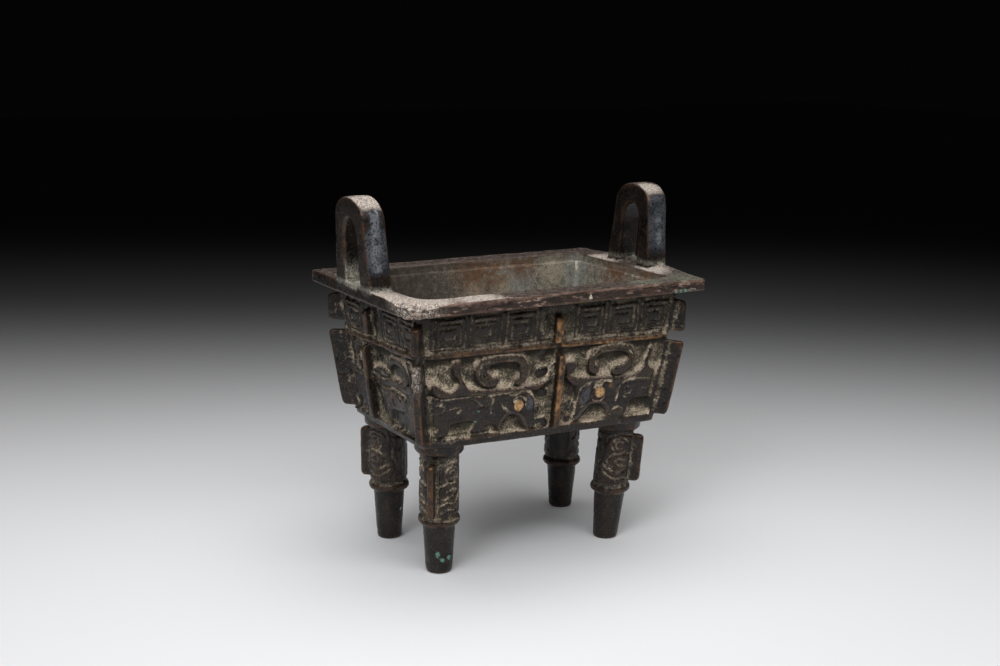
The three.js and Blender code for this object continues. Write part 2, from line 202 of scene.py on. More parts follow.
class Relief:
    """A flat field of relief: how high it stands, where it is dirty, rubbed bright or polished grey, and
    where shade, highlights and light are painted.
    """

    def __init__(self, u_low, u_high, z_low=56.0, z_high=122.0, middle=0.0, hand=1):
        """Middle and hand turn the places of what is drawn into the field's own."""
        self.middle, self.hand = middle, hand
        self.origin = np.array([u_low, z_low])
        self.u, self.z = np.meshgrid(np.arange(u_low, u_high, CELL), np.arange(z_low, z_high, CELL))
        self.field = np.zeros((CHANNELS,) + self.u.shape)

    def path(self, points, rounded, closed=False):
        points = (np.asarray(points, float) - (self.middle, 0)) * (self.hand, 1)
        return curve(points, closed) if rounded else points

    def window(self, points, margin):
        low = np.floor((np.min(points, 0) - margin - self.origin) / CELL).astype(int)
        high = np.ceil((np.max(points, 0) + margin - self.origin) / CELL).astype(int)
        rows = slice(max(0, low[1]), max(1, high[1]))
        columns = slice(max(0, low[0]), max(1, high[0]))
        return rows, columns

    def distance(self, points, where, closed):
        """Distance to a path, below zero inside a closed one."""
        u, z = self.u[where], self.z[where]
        best = np.full(u.shape, 1e9)
        inside = np.zeros(u.shape, bool)
        ends = np.roll(points, -1, 0) if closed else points[1:]
        for (u0, z0), (u1, z1) in zip(points, ends):
            du, dz = u1 - u0, z1 - z0
            t = np.clip(((u - u0) * du + (z - z0) * dz) / max(du * du + dz * dz, 1e-9), 0, 1)
            best = np.minimum(best, (u - u0 - t * du) ** 2 + (z - z0 - t * dz) ** 2)
            if closed and z0 != z1:
                crossed = (z0 > z) != (z1 > z)
                inside ^= crossed & (u < u0 + (z - z0) * du / dz)
        best = np.sqrt(best)
        return np.where(inside, -best, best) if closed else best

    def lay(self, where, mask, level, dirt, rub, grey):
        for channel, value in ((HEIGHT, level), (DIRT, dirt), (RUB, rub), (GREY, grey)):
            if value is not None:
                here = self.field[channel][where]
                self.field[channel][where] = here + (value - here) * mask

    def area(self, outline, level, dirt=0.0, soft=0.35, rub=0.0, grey=0.0, rounded=True):
        points = self.path(outline, rounded, closed=True)
        where = self.window(points, 2)
        mask = 1 - smooth(-soft, soft, self.distance(points, where, True))
        self.lay(where, mask, level, dirt, rub, grey)

    def line(self, path, width, level, dirt=0.0, soft=0.35, rub=0.0, grey=0.0, rounded=True):
        points = self.path(path, rounded)
        where = self.window(points, width + 2)
        mask = 1 - smooth(-soft, soft, self.distance(points, where, False) - width / 2)
        self.lay(where, mask, level, dirt, rub, grey)

    def groove(self, path, width=0.9, depth=0.7, dirt=0.8, rounded=True):
        points = self.path(path, rounded)
        where = self.window(points, width + 2)
        away = self.distance(points, where, False)
        self.field[HEIGHT][where] -= depth * GROOVE_DEPTH * (1 - smooth(0, width * 0.75, away))
        self.lay(where, 1 - smooth(width * 0.3, width * 0.75, away), None, dirt, 0.0, 0.0)

    def boss(self, centre, radius, rise, rub=0.0, level=0.0, grey=0.0, share=1.0):
        """A round knob; share below 1 makes it an upright oval, above 1 a flat one."""
        centre = self.path(centre, False)
        where = self.window(np.array([centre]), radius * max(1, share) + 2)
        u = (self.u[where] - centre[0]) / share
        away = np.hypot(u, self.z[where] - centre[1]) / radius
        dome = level + rise * np.sqrt(np.clip(1 - away**2, 0, 1))
        here = self.field[HEIGHT][where]
        self.field[HEIGHT][where] = np.where(away < 1, np.maximum(here, dome), here)
        self.lay(where, 1 - smooth(0.85, 1.0, away), None, 0.0, rub, grey)

    def settle(self, foot=BASE_BAND_TOP, quiet_above=100.0, quiet=0.55):
        """Paints shade under each raised edge and a highlight along the top of one, and paints light by which
        way the ground leans, lighter leaning up and darker leaning down.
        """
        height = np.where(self.z < foot, PLATEAU * 0.55, self.field[HEIGHT])
        height = (height + np.roll(height, 1, 1) + np.roll(height, -1, 1)) / 3

        def beyond(cells):
            """Mean height over a stretch above each cell, or below it where cells is negative."""
            way = 1 if cells > 0 else -1
            return sum(np.roll(height, -way * k, 0) for k in range(1, abs(cells) + 1)) / abs(cells)

        shown = np.where(self.z > quiet_above, quiet, np.where(self.z < foot + 7.5, 0.7, 1.0))
        self.field[SHADE] = smooth(0.3, 1.3, mix(beyond(4), beyond(8), 0.5) - height)
        self.field[LEDGE_HIGHLIGHT] = smooth(0.3, 0.95, beyond(-3) - beyond(3)) * shown
        self.field[LIT] = mix(0.42, smooth(-1.1, 1.1, beyond(-18) - beyond(18)), shown)

    def sample(self, u, z):
        rows, columns = self.u.shape
        fu = np.clip((np.asarray(u) - self.origin[0]) / CELL, 0, columns - 1.001)
        fz = np.clip((np.asarray(z) - self.origin[1]) / CELL, 0, rows - 1.001)
        iu, iz = fu.astype(int), fz.astype(int)
        tu, tz = fu - iu, fz - iz
        low = mix(self.field[:, iz, iu], self.field[:, iz, iu + 1], tu)
        high = mix(self.field[:, iz + 1, iu], self.field[:, iz + 1, iu + 1], tu)
        return mix(low, high, tz)


MASK_MIDDLE = 3.0


def left_half():
    """The left half of the front mask, in the wall's own places."""
    r = Relief(-3, 68, middle=MASK_MIDDLE, hand=-1)
    foot = 62.0

    # The ground is dirty; the lower face, the brow and the stem stand above it.
    r.field[DIRT] = 0.75
    face = [(-59.0, 86), (-57, 83.5), (-50, 82), (-30, 81.3), (-12, 81.2), (-8.2, 79.9), (-6.2, 76.5),
            (-5.9, 72), (-5.6, 66), (-6, foot), (-30, foot), (-58, foot), (-58.4, 70), (-58.9, 78)]
    r.area(face, PLATEAU - 0.2)
    brow = [(-59.8, 91.4), (-55, 87.6), (-50.3, 84.9), (-47, 85.4), (-45.3, 87.3), (-45.6, 90), (-47.5, 92),
            (-48.6, 95), (-48.8, 98.2), (-45, 98.4), (-44.6, 94), (-43.6, 90), (-41.5, 87), (-38.4, 84.6),
            (-30, 83.8), (-20, 82.9), (-10, 83.1), (-3.4, 83.6), (1.0, 86.4), (1.2, 84.4), (-2.5, 82.2),
            (-6.4, 80.4), (-12, 81.2), (-33, 81.4), (-50, 82.1), (-55.4, 83.1), (-57.8, 85.4), (-58.8, 87.6)]
    r.area(brow, PLATEAU + 0.15, soft=0.4)

    # The horn: a broad hook with a doubled outline, bent round a hollow.
    horn = [(-27.4, 87.0), (-30.6, 86.6), (-33.6, 88.4), (-35.6, 91.6), (-35.4, 95.2), (-32.6, 96.6),
            (-24, 96.9), (-17.4, 96.4), (-14.4, 94.2), (-13.2, 90.6), (-13.8, 87.4), (-15.6, 85.9)]
    r.line(horn, 3.9, PLATEAU + 0.25)
    r.area([(-33, 90), (-31.8, 86), (-28, 84.9), (-25.8, 85.6), (-26, 88.3), (-29, 88.9), (-31, 91)],
           PLATEAU + 0.2, soft=0.4)
    r.area([(-33.8, 90), (-33.4, 94.4), (-30, 94.4), (-31.4, 92.4), (-31.6, 90)], PLATEAU - 0.2, soft=0.4)
    r.groove([(-32.4, 86.4), (-34.6, 88.8), (-35.9, 91.8), (-35.6, 94.4), (-33, 96.1), (-24, 96.5),
              (-17, 96.2)], 0.8, 0.55, 0.55)
    r.groove([(-38.0, 97.2), (-37.4, 98.2), (-30, 98.4), (-23, 98.7), (-15.6, 97.8)], 0.8, 0.5, 0.6)
    r.groove([(-34.4, 95.0), (-31.8, 93.9), (-24, 94.6), (-18, 94.3), (-15.6, 92)], 0.6, 0.3, 0.15)
    r.groove([(-33.6, 93.4), (-32.6, 90.4), (-31, 87.9)], 0.6, 0.4, 0.35)

    # Recesses of the lower face.
    dome = [(-23.0, foot), (-22.6, 66.8), (-20.8, 69.3), (-18, 70.6), (-15.2, 69.4), (-12.6, 66.3),
            (-10.8, foot)]
    r.area(dome, 0.1, 0.9, soft=0.5)
    arch = [(-23.9, 63.4), (-23.4, 67.4), (-21.4, 70.6), (-18, 71.9), (-14.4, 70.6), (-11.4, 67.2),
            (-9.0, 63.2)]
    r.line(arch, 1.3, PLATEAU + 0.3, grey=0.25)
    r.area([(-54.4, foot), (-50, 65.6), (-47.4, 69.6), (-42, 70), (-36.4, 69.4), (-37.2, 66.6),
            (-40.4, foot)], 0.0, 0.7, soft=0.5)
    r.area([(-58.4, 71.2), (-55.4, 71), (-52.8, 68.4), (-55.4, 66.8), (-58, 68)], 0.5, 1.0, soft=0.6)
    r.area([(-26.6, 67.2), (-25.4, 66.4), (-24.6, 64), (-26.5, 63.8), (-31, 66.4), (-29, 67.6)], 0.5, 0.45)
    r.groove([(-56, 64.4), (-50, 64.3), (-43, 63.9), (-33, 64.2), (-24, 63.8)], 0.9, 0.7, 0.85)
    r.boss((-50.6, 67.9), 2.4, 1.3, share=1.1)

    # Engraved lines of brow and cheek.
    r.groove([(-58.2, 88.4), (-57.6, 85.4), (-55.4, 82.9), (-51.8, 81.9), (-45, 81.7), (-38, 81.9),
              (-32, 81.2)], 1.0, 0.65, 0.9)
    r.groove([(-30, 81), (-26.6, 81.2), (-22, 81.0), (-16, 81.1), (-11.6, 80.9), (-8.6, 79.4), (-6.7, 76.4)],
             0.8, 0.55, 0.75)
    r.groove([(-6.7, 76.4), (-6.3, 73.6), (-6.9, 71.5)], 0.7, 0.4, 0.6)
    r.groove([(-28.8, 80.6), (-27.6, 78.4), (-28.6, 75), (-28.0, 72.6)], 0.8, 0.45, 0.4)
    r.groove([(-36.6, 79.4), (-34.6, 78.4), (-33, 76.9), (-34.4, 76.5)], 0.8, 0.45, 0.55)
    r.groove(arc(-33.8, 77.6, 3.9, 3.4, 150, -60), 0.6, 0.35, 0.1)
    r.groove([(-57.4, 79.2), (-53, 79.2), (-50.8, 77.6), (-52.8, 75.4), (-55.6, 75.0)], 0.7, 0.4, 0.35)
    r.groove([(-50.6, 76.2), (-47.4, 76.9), (-44.4, 77.2), (-43.4, 75.6), (-45, 74.8)], 0.7, 0.4, 0.45)
    r.groove([(-57, 83.6), (-55.6, 81.2), (-52, 80.2), (-44, 80.3), (-37, 80.0)], 0.6, 0.3, 0.05)
    r.groove([(-56.6, 74.2), (-52.6, 72.6), (-47.6, 72.4), (-42, 73.4), (-37, 72.4)], 0.6, 0.3, 0.1)

    # The eye in its lobe, with a pale crescent above it and a polished one beside it.
    lobe = [(-26.2, 80.2), (-24.4, 77), (-21, 73.4), (-16.6, 71.9), (-11.5, 71.6)]
    r.groove(lobe, 0.8, 0.5, 0.15)
    r.area([(-19.6, 79.9), (-15, 80.4), (-11.4, 79), (-10.2, 76.4), (-11.6, 76.6), (-13.2, 78.6), (-16, 79)],
           0.7, 0.95, soft=0.35)
    r.area([(-10.6, 79.2), (-8.0, 77.6), (-6.9, 74.4), (-8, 71.9), (-10.6, 72.2), (-11.2, 74.6), (-10.2, 77)],
           PLATEAU + 0.55, soft=0.6, grey=1.0)
    r.groove(arc(-14.2, 75.5, 3.5, 3.5, 200, -20), 0.8, 0.6, 0.1)
    r.boss((-15.1, 74.6), 2.7, 0.6, rub=2.0, level=PLATEAU + 0.35)

    # Knobs of the nose and the dirty strip beside the flange.
    r.boss((-3.9, 97.4), 1.8, 0.9, share=1.3)
    r.boss((-3.6, 88.6), 2.4, 1.3, share=1.5)
    r.area([(-1.6, 86.4), (0.6, 90.4), (3, 92), (3, 84), (0.6, 83.6)], 0.9, 0.6)
    r.area([(-4.2, 80.6), (-1, 80.4), (0.6, 78.6), (-1.4, 76.9), (-3.6, 77.6)], 0.5, 0.3)
    r.area([(-5.4, 73.2), (-2.6, 73.4), (-1.6, 70.4), (-4.4, 68.8)], 0.5, 0.3)
    r.groove([(-5, 67.1), (-1, 67.6), (1, 67.4)], 0.8, 0.3, 1.0)
    r.area([(-5.6, 66.2), (0.4, 66.4), (1, 62.6), (-5.2, 62.4)], 0.8, 0.1)

    # Curls in the outer recess, and the channel along the corner flange.
    for size in (1.2, 2.6, 4.1):
        r.groove(arc(-50.6, 91.3, size * 1.2, size, 170, -120), 0.6, -0.35, 0.35)
    r.area([(-59, 92.6), (-54, 88.9), (-50, 86.4), (-46.9, 86.9), (-47.4, 88.6), (-50, 88.4), (-57.6, 93.8)],
           0.25, 1.0, soft=0.5)
    r.line([(-60.9, 98), (-60.4, 88), (-59.7, 80), (-58.7, 71), (-57.8, 64)], 1.5, 0.1, 0.95)
    return r


def right_half():
    """The right half of the front mask, in the wall's own places."""
    r = Relief(-3, 68, middle=MASK_MIDDLE)
    foot = 60.4

    r.field[DIRT] = 0.75
    face = [(15.4, 80.4), (15.6, 76), (16.0, 71), (15.2, 66), (14.6, foot), (40, foot), (62, foot),
            (62.2, 68), (61.9, 74), (62.3, 80), (58, 80.4), (40, 80), (26, 80.9), (19, 81)]
    r.area(face, PLATEAU - 0.2)
    brow = [(9.2, 87), (11.6, 84.8), (16, 83.4), (22, 82.9), (30, 82.5), (38.4, 81.6), (44, 81.4), (48, 82.9),
            (51, 85.4), (51.8, 88), (52.9, 91), (53.6, 94.2), (54.9, 94.4), (54.6, 91), (53.4, 87.6),
            (53.8, 85.6), (56, 83.6), (58.4, 82.8), (60.8, 83.9), (62.2, 82.6), (61.8, 80.2), (55, 79.9),
            (45, 79.6), (37, 79.6), (26, 80.3), (19, 80.2), (14, 80), (11, 82), (9, 84.2)]
    r.area(brow, PLATEAU + 0.15, soft=0.4)

    horn = [(24.4, 86.0), (22.3, 87.9), (21.8, 91.2), (23.4, 94.2), (27.2, 95.8), (34, 95.9), (39.6, 95.2),
            (42.8, 92.8), (43.3, 89.8), (41.4, 86.6), (38.4, 84.7), (35.2, 84.6)]
    r.line(horn, 3.8, PLATEAU + 0.25)
    r.groove([(21.8, 93.4), (24.2, 95.4), (30, 95.5), (36, 95.1), (41.6, 93.6), (43.9, 91.2), (43.3, 88.4)],
             0.8, 0.55, 0.6)
    r.groove([(20.2, 95.4), (23, 97.2), (28, 97.5), (36, 97.0), (42, 96.4), (45.2, 94.4)], 0.8, 0.45, 0.6)
    r.groove([(27.4, 93.6), (33, 94.3), (38.6, 93.6), (40.9, 91.4)], 0.6, 0.3, 0.2)
    r.area([(33.2, 85.8), (35, 82.9), (39, 82.9), (42, 85), (40, 87.2), (36.6, 86.6)], PLATEAU + 0.2,
           soft=0.4)

    dome = [(17.4, foot), (20.2, 66.4), (23.4, 69.2), (27, 69.8), (30.6, 68), (31.4, 65.4), (29.8, foot)]
    r.area(dome, 0.1, 0.85, soft=0.5)
    arch = [(15.6, 63.4), (18.4, 67.2), (21.4, 70.1), (25.6, 71.2), (30.2, 70.4), (32.9, 67.6), (32.6, 64.2),
            (30.4, 61.8)]
    r.line(arch, 1.3, PLATEAU + 0.3, grey=0.3)
    r.line([(15.9, 64), (19, 67.6), (21.2, 69.6)], 1.6, PLATEAU + 0.4, grey=0.9)
    r.area([(44, foot), (44.4, 66), (46, 69.4), (53, 69.8), (58.6, 67.4), (60.4, 64.4), (58, foot)],
           0.0, 0.7, soft=0.5)
    r.groove([(9.6, 63.4), (16, 63.3), (23, 62.9), (29, 62.0), (36, 61.7), (45, 61.9), (56, 61.6)], 0.9, 0.7,
             0.9)
    r.groove([(34.6, 64.4), (36, 66.4), (38.6, 67.1), (41.2, 66), (42.4, 63.6)], 0.8, 0.5, 0.6)
    r.groove(arc(33.4, 63.0, 2.3, 1.5, 170, 0), 0.7, 0.45, 0.5)

    # Engraved lines of the cheek.
    r.groove([(37.2, 70.4), (38.0, 73.2), (37.8, 75.8), (39.6, 78.2), (43.6, 79.5), (50, 79.7), (56, 79.2)],
             1.0, 0.6, 0.6)
    r.groove(arc(43.4, 74.6, 1.9, 1.8, 0, 330), 0.7, 0.45, 0.35)
    r.groove([(51, 74.6), (55.6, 74.2), (60.4, 74.5)], 0.7, 0.4, 0.5)
    r.groove([(40, 76.8), (43.4, 78.2), (48, 78.3), (54, 77.6), (60, 77.8)], 0.6, 0.3, 0.1)
    r.groove([(40, 72), (44, 71), (49, 71.4), (55, 72), (60, 71)], 0.6, 0.3, 0.08)
    r.groove([(20, 81.9), (30, 81.3), (40, 80.4), (52, 80.9), (60, 80.4)], 0.6, 0.35, 0.3)

    # The eye, its crescents, and a small rubbed bump beside it.
    r.area([(21.8, 79.6), (18.6, 77.6), (17, 74.4), (17.2, 71.4), (19.6, 71), (21.6, 73.6), (22.4, 77)],
           PLATEAU + 0.55, soft=0.6, grey=1.0)
    r.groove([(15.8, 72), (16.2, 75.8), (18.2, 79.2), (21.8, 80.4), (27, 80.5), (34, 80.1)], 0.9, 0.55, 0.85)
    r.area([(22.9, 77.6), (24.6, 79.5), (28.2, 79.8), (30.2, 80.2), (28.6, 78.4), (25.8, 78.2), (23.6, 76.6)],
           0.7, 1.0, soft=0.35)
    r.groove(arc(27.7, 75.2, 3.8, 3.7, 150, 340), 0.9, 0.7, 0.05)
    r.boss((27.6, 75.4), 2.7, 0.6, rub=2.0, level=PLATEAU + 0.35)
    r.boss((33.8, 77.6), 1.7, 0.5, rub=0.55, level=PLATEAU - 0.2)

    # Beside the flange: a blob, dark shapes in dirt, and the channel along the corner flange.
    r.area([(9, 91.6), (12.6, 91.4), (14.4, 89.6), (12.6, 86.6), (9, 87.2)], PLATEAU - 0.1, 0.05)
    r.groove([(10, 92.8), (13.4, 92), (16, 90), (18.8, 89.2)], 0.7, -0.4, 0.6)
    r.groove([(12, 96.6), (16, 95.4), (18.6, 92.4)], 0.7, -0.4, 0.2)
    r.area([(11.4, 79.6), (13.8, 79.4), (13.8, 76), (12, 75), (10.8, 77)], 0.7, 0.3)
    r.area([(10.2, 73.4), (13.4, 73), (14.8, 70), (13.6, 66.4), (11.6, 68.6)], 0.7, 0.35)
    r.boss((12.0, 64.6), 1.7, 1.2)
    r.boss((38.6, 64.9), 1.9, 0.3, level=PLATEAU, share=1.5)
    r.line([(64.6, 96), (63.4, 88), (62.9, 80), (62.8, 72), (62.4, 62)], 1.4, 0.1, 0.85)
    r.boss((56.6, 66.6), 1.6, 0.7, share=1.4)
    return r


BLOCK_HALF = 6.7
SPIRAL = [(-4.9, 4.6), (4.9, 4.6), (4.9, -4.6), (-4.9, -4.6), (-4.9, 2.2), (2.3, 2.2), (2.3, -2.2),
          (-2.3, -2.2)]


def upper_band(r, slope, blocks, low=103.4, high=117.0, across=1.0):
    """Blocks of nested squares with a pair of upright lines between them, over two level lines."""
    ends = [r.u.min() + 1, r.u.max() - 1]

    def level(u):
        return low - slope * u

    r.area([(ends[0], level(ends[0]) - 1.6), (ends[0], high + 2), (ends[1], high + 2),
            (ends[1], level(ends[1]) - 1.6)], 0.0, 0.4, rounded=False)
    for centre in blocks:
        z = level(centre) + 6.7
        half = BLOCK_HALF * across
        block = [(centre - half, z - 5.6), (centre + half, z - 5.6), (centre + half, z + 6.4),
                 (centre - half, z + 6.4)]
        r.area(block, 1.25, 0.0, soft=0.35, rounded=False)
        r.groove([(centre + u * across, z + v) for u, v in SPIRAL], 0.95, 0.75, 0.6, rounded=False)
        for side in (-1, 1):
            bar = centre + side * (half + 1.95)
            r.line([(bar, z - 6), (bar, high + 0.5)], 1.1, 1.05, 0.0, rounded=False)
    for drop in (0.35, 1.75):
        r.line([(u, level(u) - drop) for u in ends], 0.8, 0.9, 0.25, soft=0.25, rounded=False)


def ridge(r, start, end, rub=0.6):
    r.line([start, end], 2.4, RIDGE_RISE, 0.0, soft=0.45, rub=rub, rounded=False)


def panel(r, halves, slope):
    """Lays the two halves of a mask on a wall's field, from its middle towards the corners."""
    below = r.z < 99.0 - slope * r.u
    for hand, half, warp in halves:
        here = below & ((r.u - warp["middle"]) * hand >= 0)
        along = np.abs(r.u[here] - warp["middle"])
        place = np.interp(along, warp["wall"], warp["mask"])
        r.field[:, here] = half.sample(place, r.z[here] + slope * r.u[here] * warp.get("level", 0))


def left_near(r):
    """The near part of the left wall's mask, in the wall's own places."""
    foot = 60.0
    here = (r.z < 98.2) & (r.u < 9.5)
    r.field[HEIGHT, here] = 0
    r.field[DIRT, here] = 0.6
    r.field[RUB, here] = 0
    r.field[GREY, here] = 0
    r.area([(-32, 84), (-12, 83.4), (-1, 81.6), (7, 83), (6, 77), (2, 74.6), (0, 68), (2, foot), (-32, foot)],
           PLATEAU - 0.4, 0.42)
    r.line([(8, 84.0), (-1, 82.7), (-12.5, 84.7), (-24, 84.0), (-30, 86)], 2.6, PLATEAU + 0.2)
    r.groove([(8, 81.5), (-1, 80.5), (-12, 82), (-23, 81.2)], 0.9, 0.7, 0.9)
    r.line([(-8.6, 91.2), (-12, 94.3), (-20, 95.2), (-25.6, 92.6), (-25.8, 88.6), (-22.6, 86.8)], 3.3,
           PLATEAU + 0.2)
    r.groove([(-10, 93.2), (-13, 96.0), (-20.4, 97.0), (-27, 94)], 0.8, 0.5, 0.7)
    r.area([(-12.6, 91.6), (-19, 92), (-21.6, 89.6), (-17, 87.6), (-12.2, 88.8)], -0.2, 0.3)
    r.area([(7.6, 86.6), (3, 88.6), (-3, 89), (-7.6, 87.4), (-4, 85.4), (5, 85)], PLATEAU - 0.1, 0.3,
           grey=0.3)
    r.line([(-27.6, 97), (-29.4, 92), (-29, 87)], 1.6, PLATEAU)
    r.area([(-7.6, 80.6), (-14, 80.4), (-20, 81.4), (-23.6, 78), (-20.6, 74.4), (-13, 72.6), (-7.2, 74.4)],
           PLATEAU + 0.5, 0.25, soft=0.9)
    r.groove(arc(-14.6, 77.4, 4.4, 2.6, 160, -60), 0.9, 0.7, 0.1)
    r.boss((-9.4, 78.4), 1.7, 0.9, rub=0.35, level=PLATEAU - 0.2)
    r.boss((2.0, 71.6), 2.3, 1.7)
    r.area([(-6.6, 70.6), (-13, 71.6), (-20.6, 72), (-21, 67), (-14, 63.2), (-6.8, 63.8)], -0.3, 0.1,
           soft=0.7)
    r.area([(5.6, 65.4), (-1, 67), (-6, 64.8), (-6, foot), (5, foot)], 0.35, 1.0, soft=0.7)
    r.line([(9, 96), (11.4, 86), (12.6, 76), (9.4, 68), (7.4, 62)], 2.4, 0.1, 1.0)


def wall_fields():
    left, right = left_half(), right_half()
    plain = {"wall": [0, 1, 60], "mask": [0, 1, 60], "middle": MASK_MIDDLE}

    def share(middle, room, wall=None, mask=None):
        return {"middle": middle, "wall": wall or [0, room], "mask": mask or [0, 64], "level": 1}

    fields = {}
    front = Relief(-70, 70)
    panel(front, [(-1, left, plain), (1, right, {**plain, "wall": [0, 66], "mask": [0, 66]})], TILT)
    upper_band(front, 0.0125, [-50.6, -33.6, -15.8, 20.2, 37.4, 54.6])
    front.area([(6.2, 102.6), (6.2, 112.6), (10.4, 112.8), (10.6, 102.4)], 0.35, 1.0)
    front.area([(-6.6, 104.6), (-6.4, 112), (-2.4, 113), (-1.6, 106)], 0.6, 0.5)
    ridge(front, (-60.4, 101.2), (1.2, 100.2), 0.55)
    ridge(front, (5.2, 99.9), (63.6, 98.7), 0.9)
    fields["front"] = front

    side = Relief(-46, 46)
    near = share(9.0, 44, [0, 17, 31, 43], [0, 15, 41.5, 64])
    panel(side, [(-1, left, near), (1, left, share(9.0, 25))], 0.02)
    left_near(side)
    upper_band(side, 0.03, [-30.8, -14.4, 24.0], low=102.4, high=116.4, across=1.16)
    ridge(side, (-33, 100.6), (35, 98.6), 0.45)
    fields["left"] = side

    side = Relief(-46, 46)
    panel(side, [(-1, left, share(-7.5, 27)), (1, left, share(-7.5, 42))], 0.0)
    upper_band(side, 0.0, [-25.5, 10.5, 27.6], low=102.2, high=116.4)
    ridge(side, (-34, 98.9), (34, 99.4))
    fields["right"] = side

    back = Relief(-70, 70)
    panel(back, [(-1, left, share(-1.8, 58)), (1, left, share(-1.8, 61.5))], TILT)
    upper_band(back, 0.0125, [-55, -37.8, -20.6, 15, 32.2, 49.4])
    ridge(back, (-62.4, 101.2), (62.4, 98.9))
    fields["back"] = back
    fields["left"].field[DIRT] *= 0.75
    for field in fields.values():
        field.settle()
    return fields


FIELDS = wall_fields()
CORNER_FADE = 1.6


def on_wall(name, u, z):
    """What a wall's field says at a place, with its drawing wandering a little as cast work does."""
    flat = np.stack([np.ravel(u), np.ravel(z), np.full(np.size(u), len(name) * 9.0)], 1)
    drift = [0.22 * noise(flat, 5.0, seed) for seed in (11, 12)]
    values = FIELDS[name].sample(flat[:, 0] + drift[0], flat[:, 1] + drift[1])
    room = half_length(flat[:, 1]) if name in ("front", "back") else half_width(flat[:, 1])
    fade = smooth(0, CORNER_FADE, room - np.abs(flat[:, 0]))
    fade = fade * smooth(BASE_BAND_TOP - 0.9, BASE_BAND_TOP - 0.3, flat[:, 1])
    lumps = 0.16 * noise(flat, 1.5, 13) + 0.12 * noise(flat, 3.4, 14)
    values[HEIGHT] += lumps * (0.35 + 0.65 * values[DIRT]) + 0.30 * noise(flat, 5.2, 15) * (1 - values[DIRT])
    inward = room - np.abs(flat[:, 0])
    # A dirty channel runs beside each corner flange.
    strip = smooth(1.9, 2.5, inward) * (1 - smooth(3.4, 4.6, inward))
    strip = strip * (1 - 0.5 * smooth(100, 102, flat[:, 1]))
    values[HEIGHT] *= 1 - 0.85 * strip
    values[DIRT] = np.maximum(values[DIRT], 0.95 * strip)
    values[HEIGHT] *= fade
    return values.reshape((CHANNELS,) + np.shape(u))


class Shape:
    """Closed bodies gathered into one mesh of points and faces."""

    def __init__(self):
        self.points = []
        self.faces = []
        self.count = 0

    def loft(self, rings, closed=False):
        """A body through rings of points, capped at both ends or closed on itself."""
        rings = np.asarray(rings, float)
        rows, columns = rings.shape[:2]
        index = np.arange(rows * columns).reshape(rows, columns) + self.count
        if closed:
            index = np.concatenate([index, index[:1]])
        right = np.roll(index, -1, 1)
        quads = np.stack([index[:-1], right[:-1], right[1:], index[1:]], -1).reshape(-1, 4)
        self.points.append(rings.reshape(-1, 3))
        self.count += rows * columns
        self.faces.extend(quads.tolist())
        if not closed:
            for ring, row in ((rings[0], index[0][::-1]), (rings[-1], index[-1])):
                self.points.append(ring.mean(0)[None])
                hub = self.count
                self.count += 1
                fan = np.stack([row, np.roll(row, -1), np.full(columns, hub)], 1)
                self.faces.extend(fan.tolist())

    def mesh(self, name):
        made = bpy.data.meshes.new(name)
        made.from_pydata(np.concatenate(self.points).tolist(), [], self.faces)
        return made


def side_counts(step):
    """How many points a ring has along a long and a short side."""
    return int(BODY_TOP[0] / step), int(BODY_TOP[1] / step)


def rectangle(half_x, half_y, step, radii=None):
    """Points round a rectangle, anticlockwise from the near left corner, with rounded corners where given."""
    made = []
    corners = [(-1, -1), (1, -1), (1, 1), (-1, 1)]
    for k, (corner, after) in enumerate(zip(corners, corners[1:] + corners[:1])):
        count = side_counts(step)[k % 2]
        t = np.arange(count) / count
        made.append(np.stack([mix(corner[0], after[0], t) * half_x, mix(corner[1], after[1], t) * half_y], 1))
    points = np.concatenate(made)
    for corner, radius in (radii or {}).items():
        centre = np.array([corner[0] * (half_x - radius), corner[1] * (half_y - radius)])
        away = (points - centre) * corner
        inside = (away[:, 0] > 0) & (away[:, 1] > 0)
        length = np.hypot(away[:, 0], away[:, 1])
        moved = centre + np.array(corner) * away / np.maximum(length, 1e-9)[:, None] * radius
        points = np.where(inside[:, None], moved, points)
    return points


def wall_ring(z, step):
    """The outside of the walls at one level, with their relief."""
    band = BASE_BAND_RISE * (1 - smooth(BASE_BAND_TOP - 0.3, BASE_BAND_TOP + 0.3, z))
    foot = BODY_FOOT_EASE * (1 - smooth(BODY_BOTTOM, BODY_BOTTOM + 1, z))
    points = rectangle(half_length(z) + band - foot, half_width(z) + band - foot, step)
    start = 0
    for k, (name, way) in enumerate((("front", -1), ("right", 1), ("back", 1), ("left", -1))):
        part = slice(start, start + side_counts(step)[k % 2])
        start = part.stop
        level = z + sag(points[part, 0], z)
        points[part, 1 - k % 2] += on_wall(name, points[part, k % 2], level)[HEIGHT] * way
    return np.column_stack([points, np.full(len(points), z)])


def cavity_ring(z, inset, step):
    points = rectangle(half_length(z) - inset, half_width(z) - inset, step, CAVITY_CORNERS)
    return np.column_stack([points, np.full(len(points), z)])


def body(shape):
    """Walls with their relief outside and a plain cavity inside, as one cup."""
    step = VOXEL * 1.05
    floor = BODY_BOTTOM + FLOOR
    rings = [wall_ring(z, step) for z in np.arange(BODY_BOTTOM, RIM_UNDER + 1.0, step)]
    rings += [cavity_ring(z, WALL, step) for z in (RIM_UNDER + 1.2, 110, 90, 75, floor + CAVITY_FOOT_RADIUS)]
    for angle in np.radians([30, 60, 90]):
        z = floor + CAVITY_FOOT_RADIUS * (1 - math.sin(angle))
        rings.append(cavity_ring(z, WALL + CAVITY_FOOT_RADIUS * (1 - math.cos(angle)), step))
    shape.loft(rings)


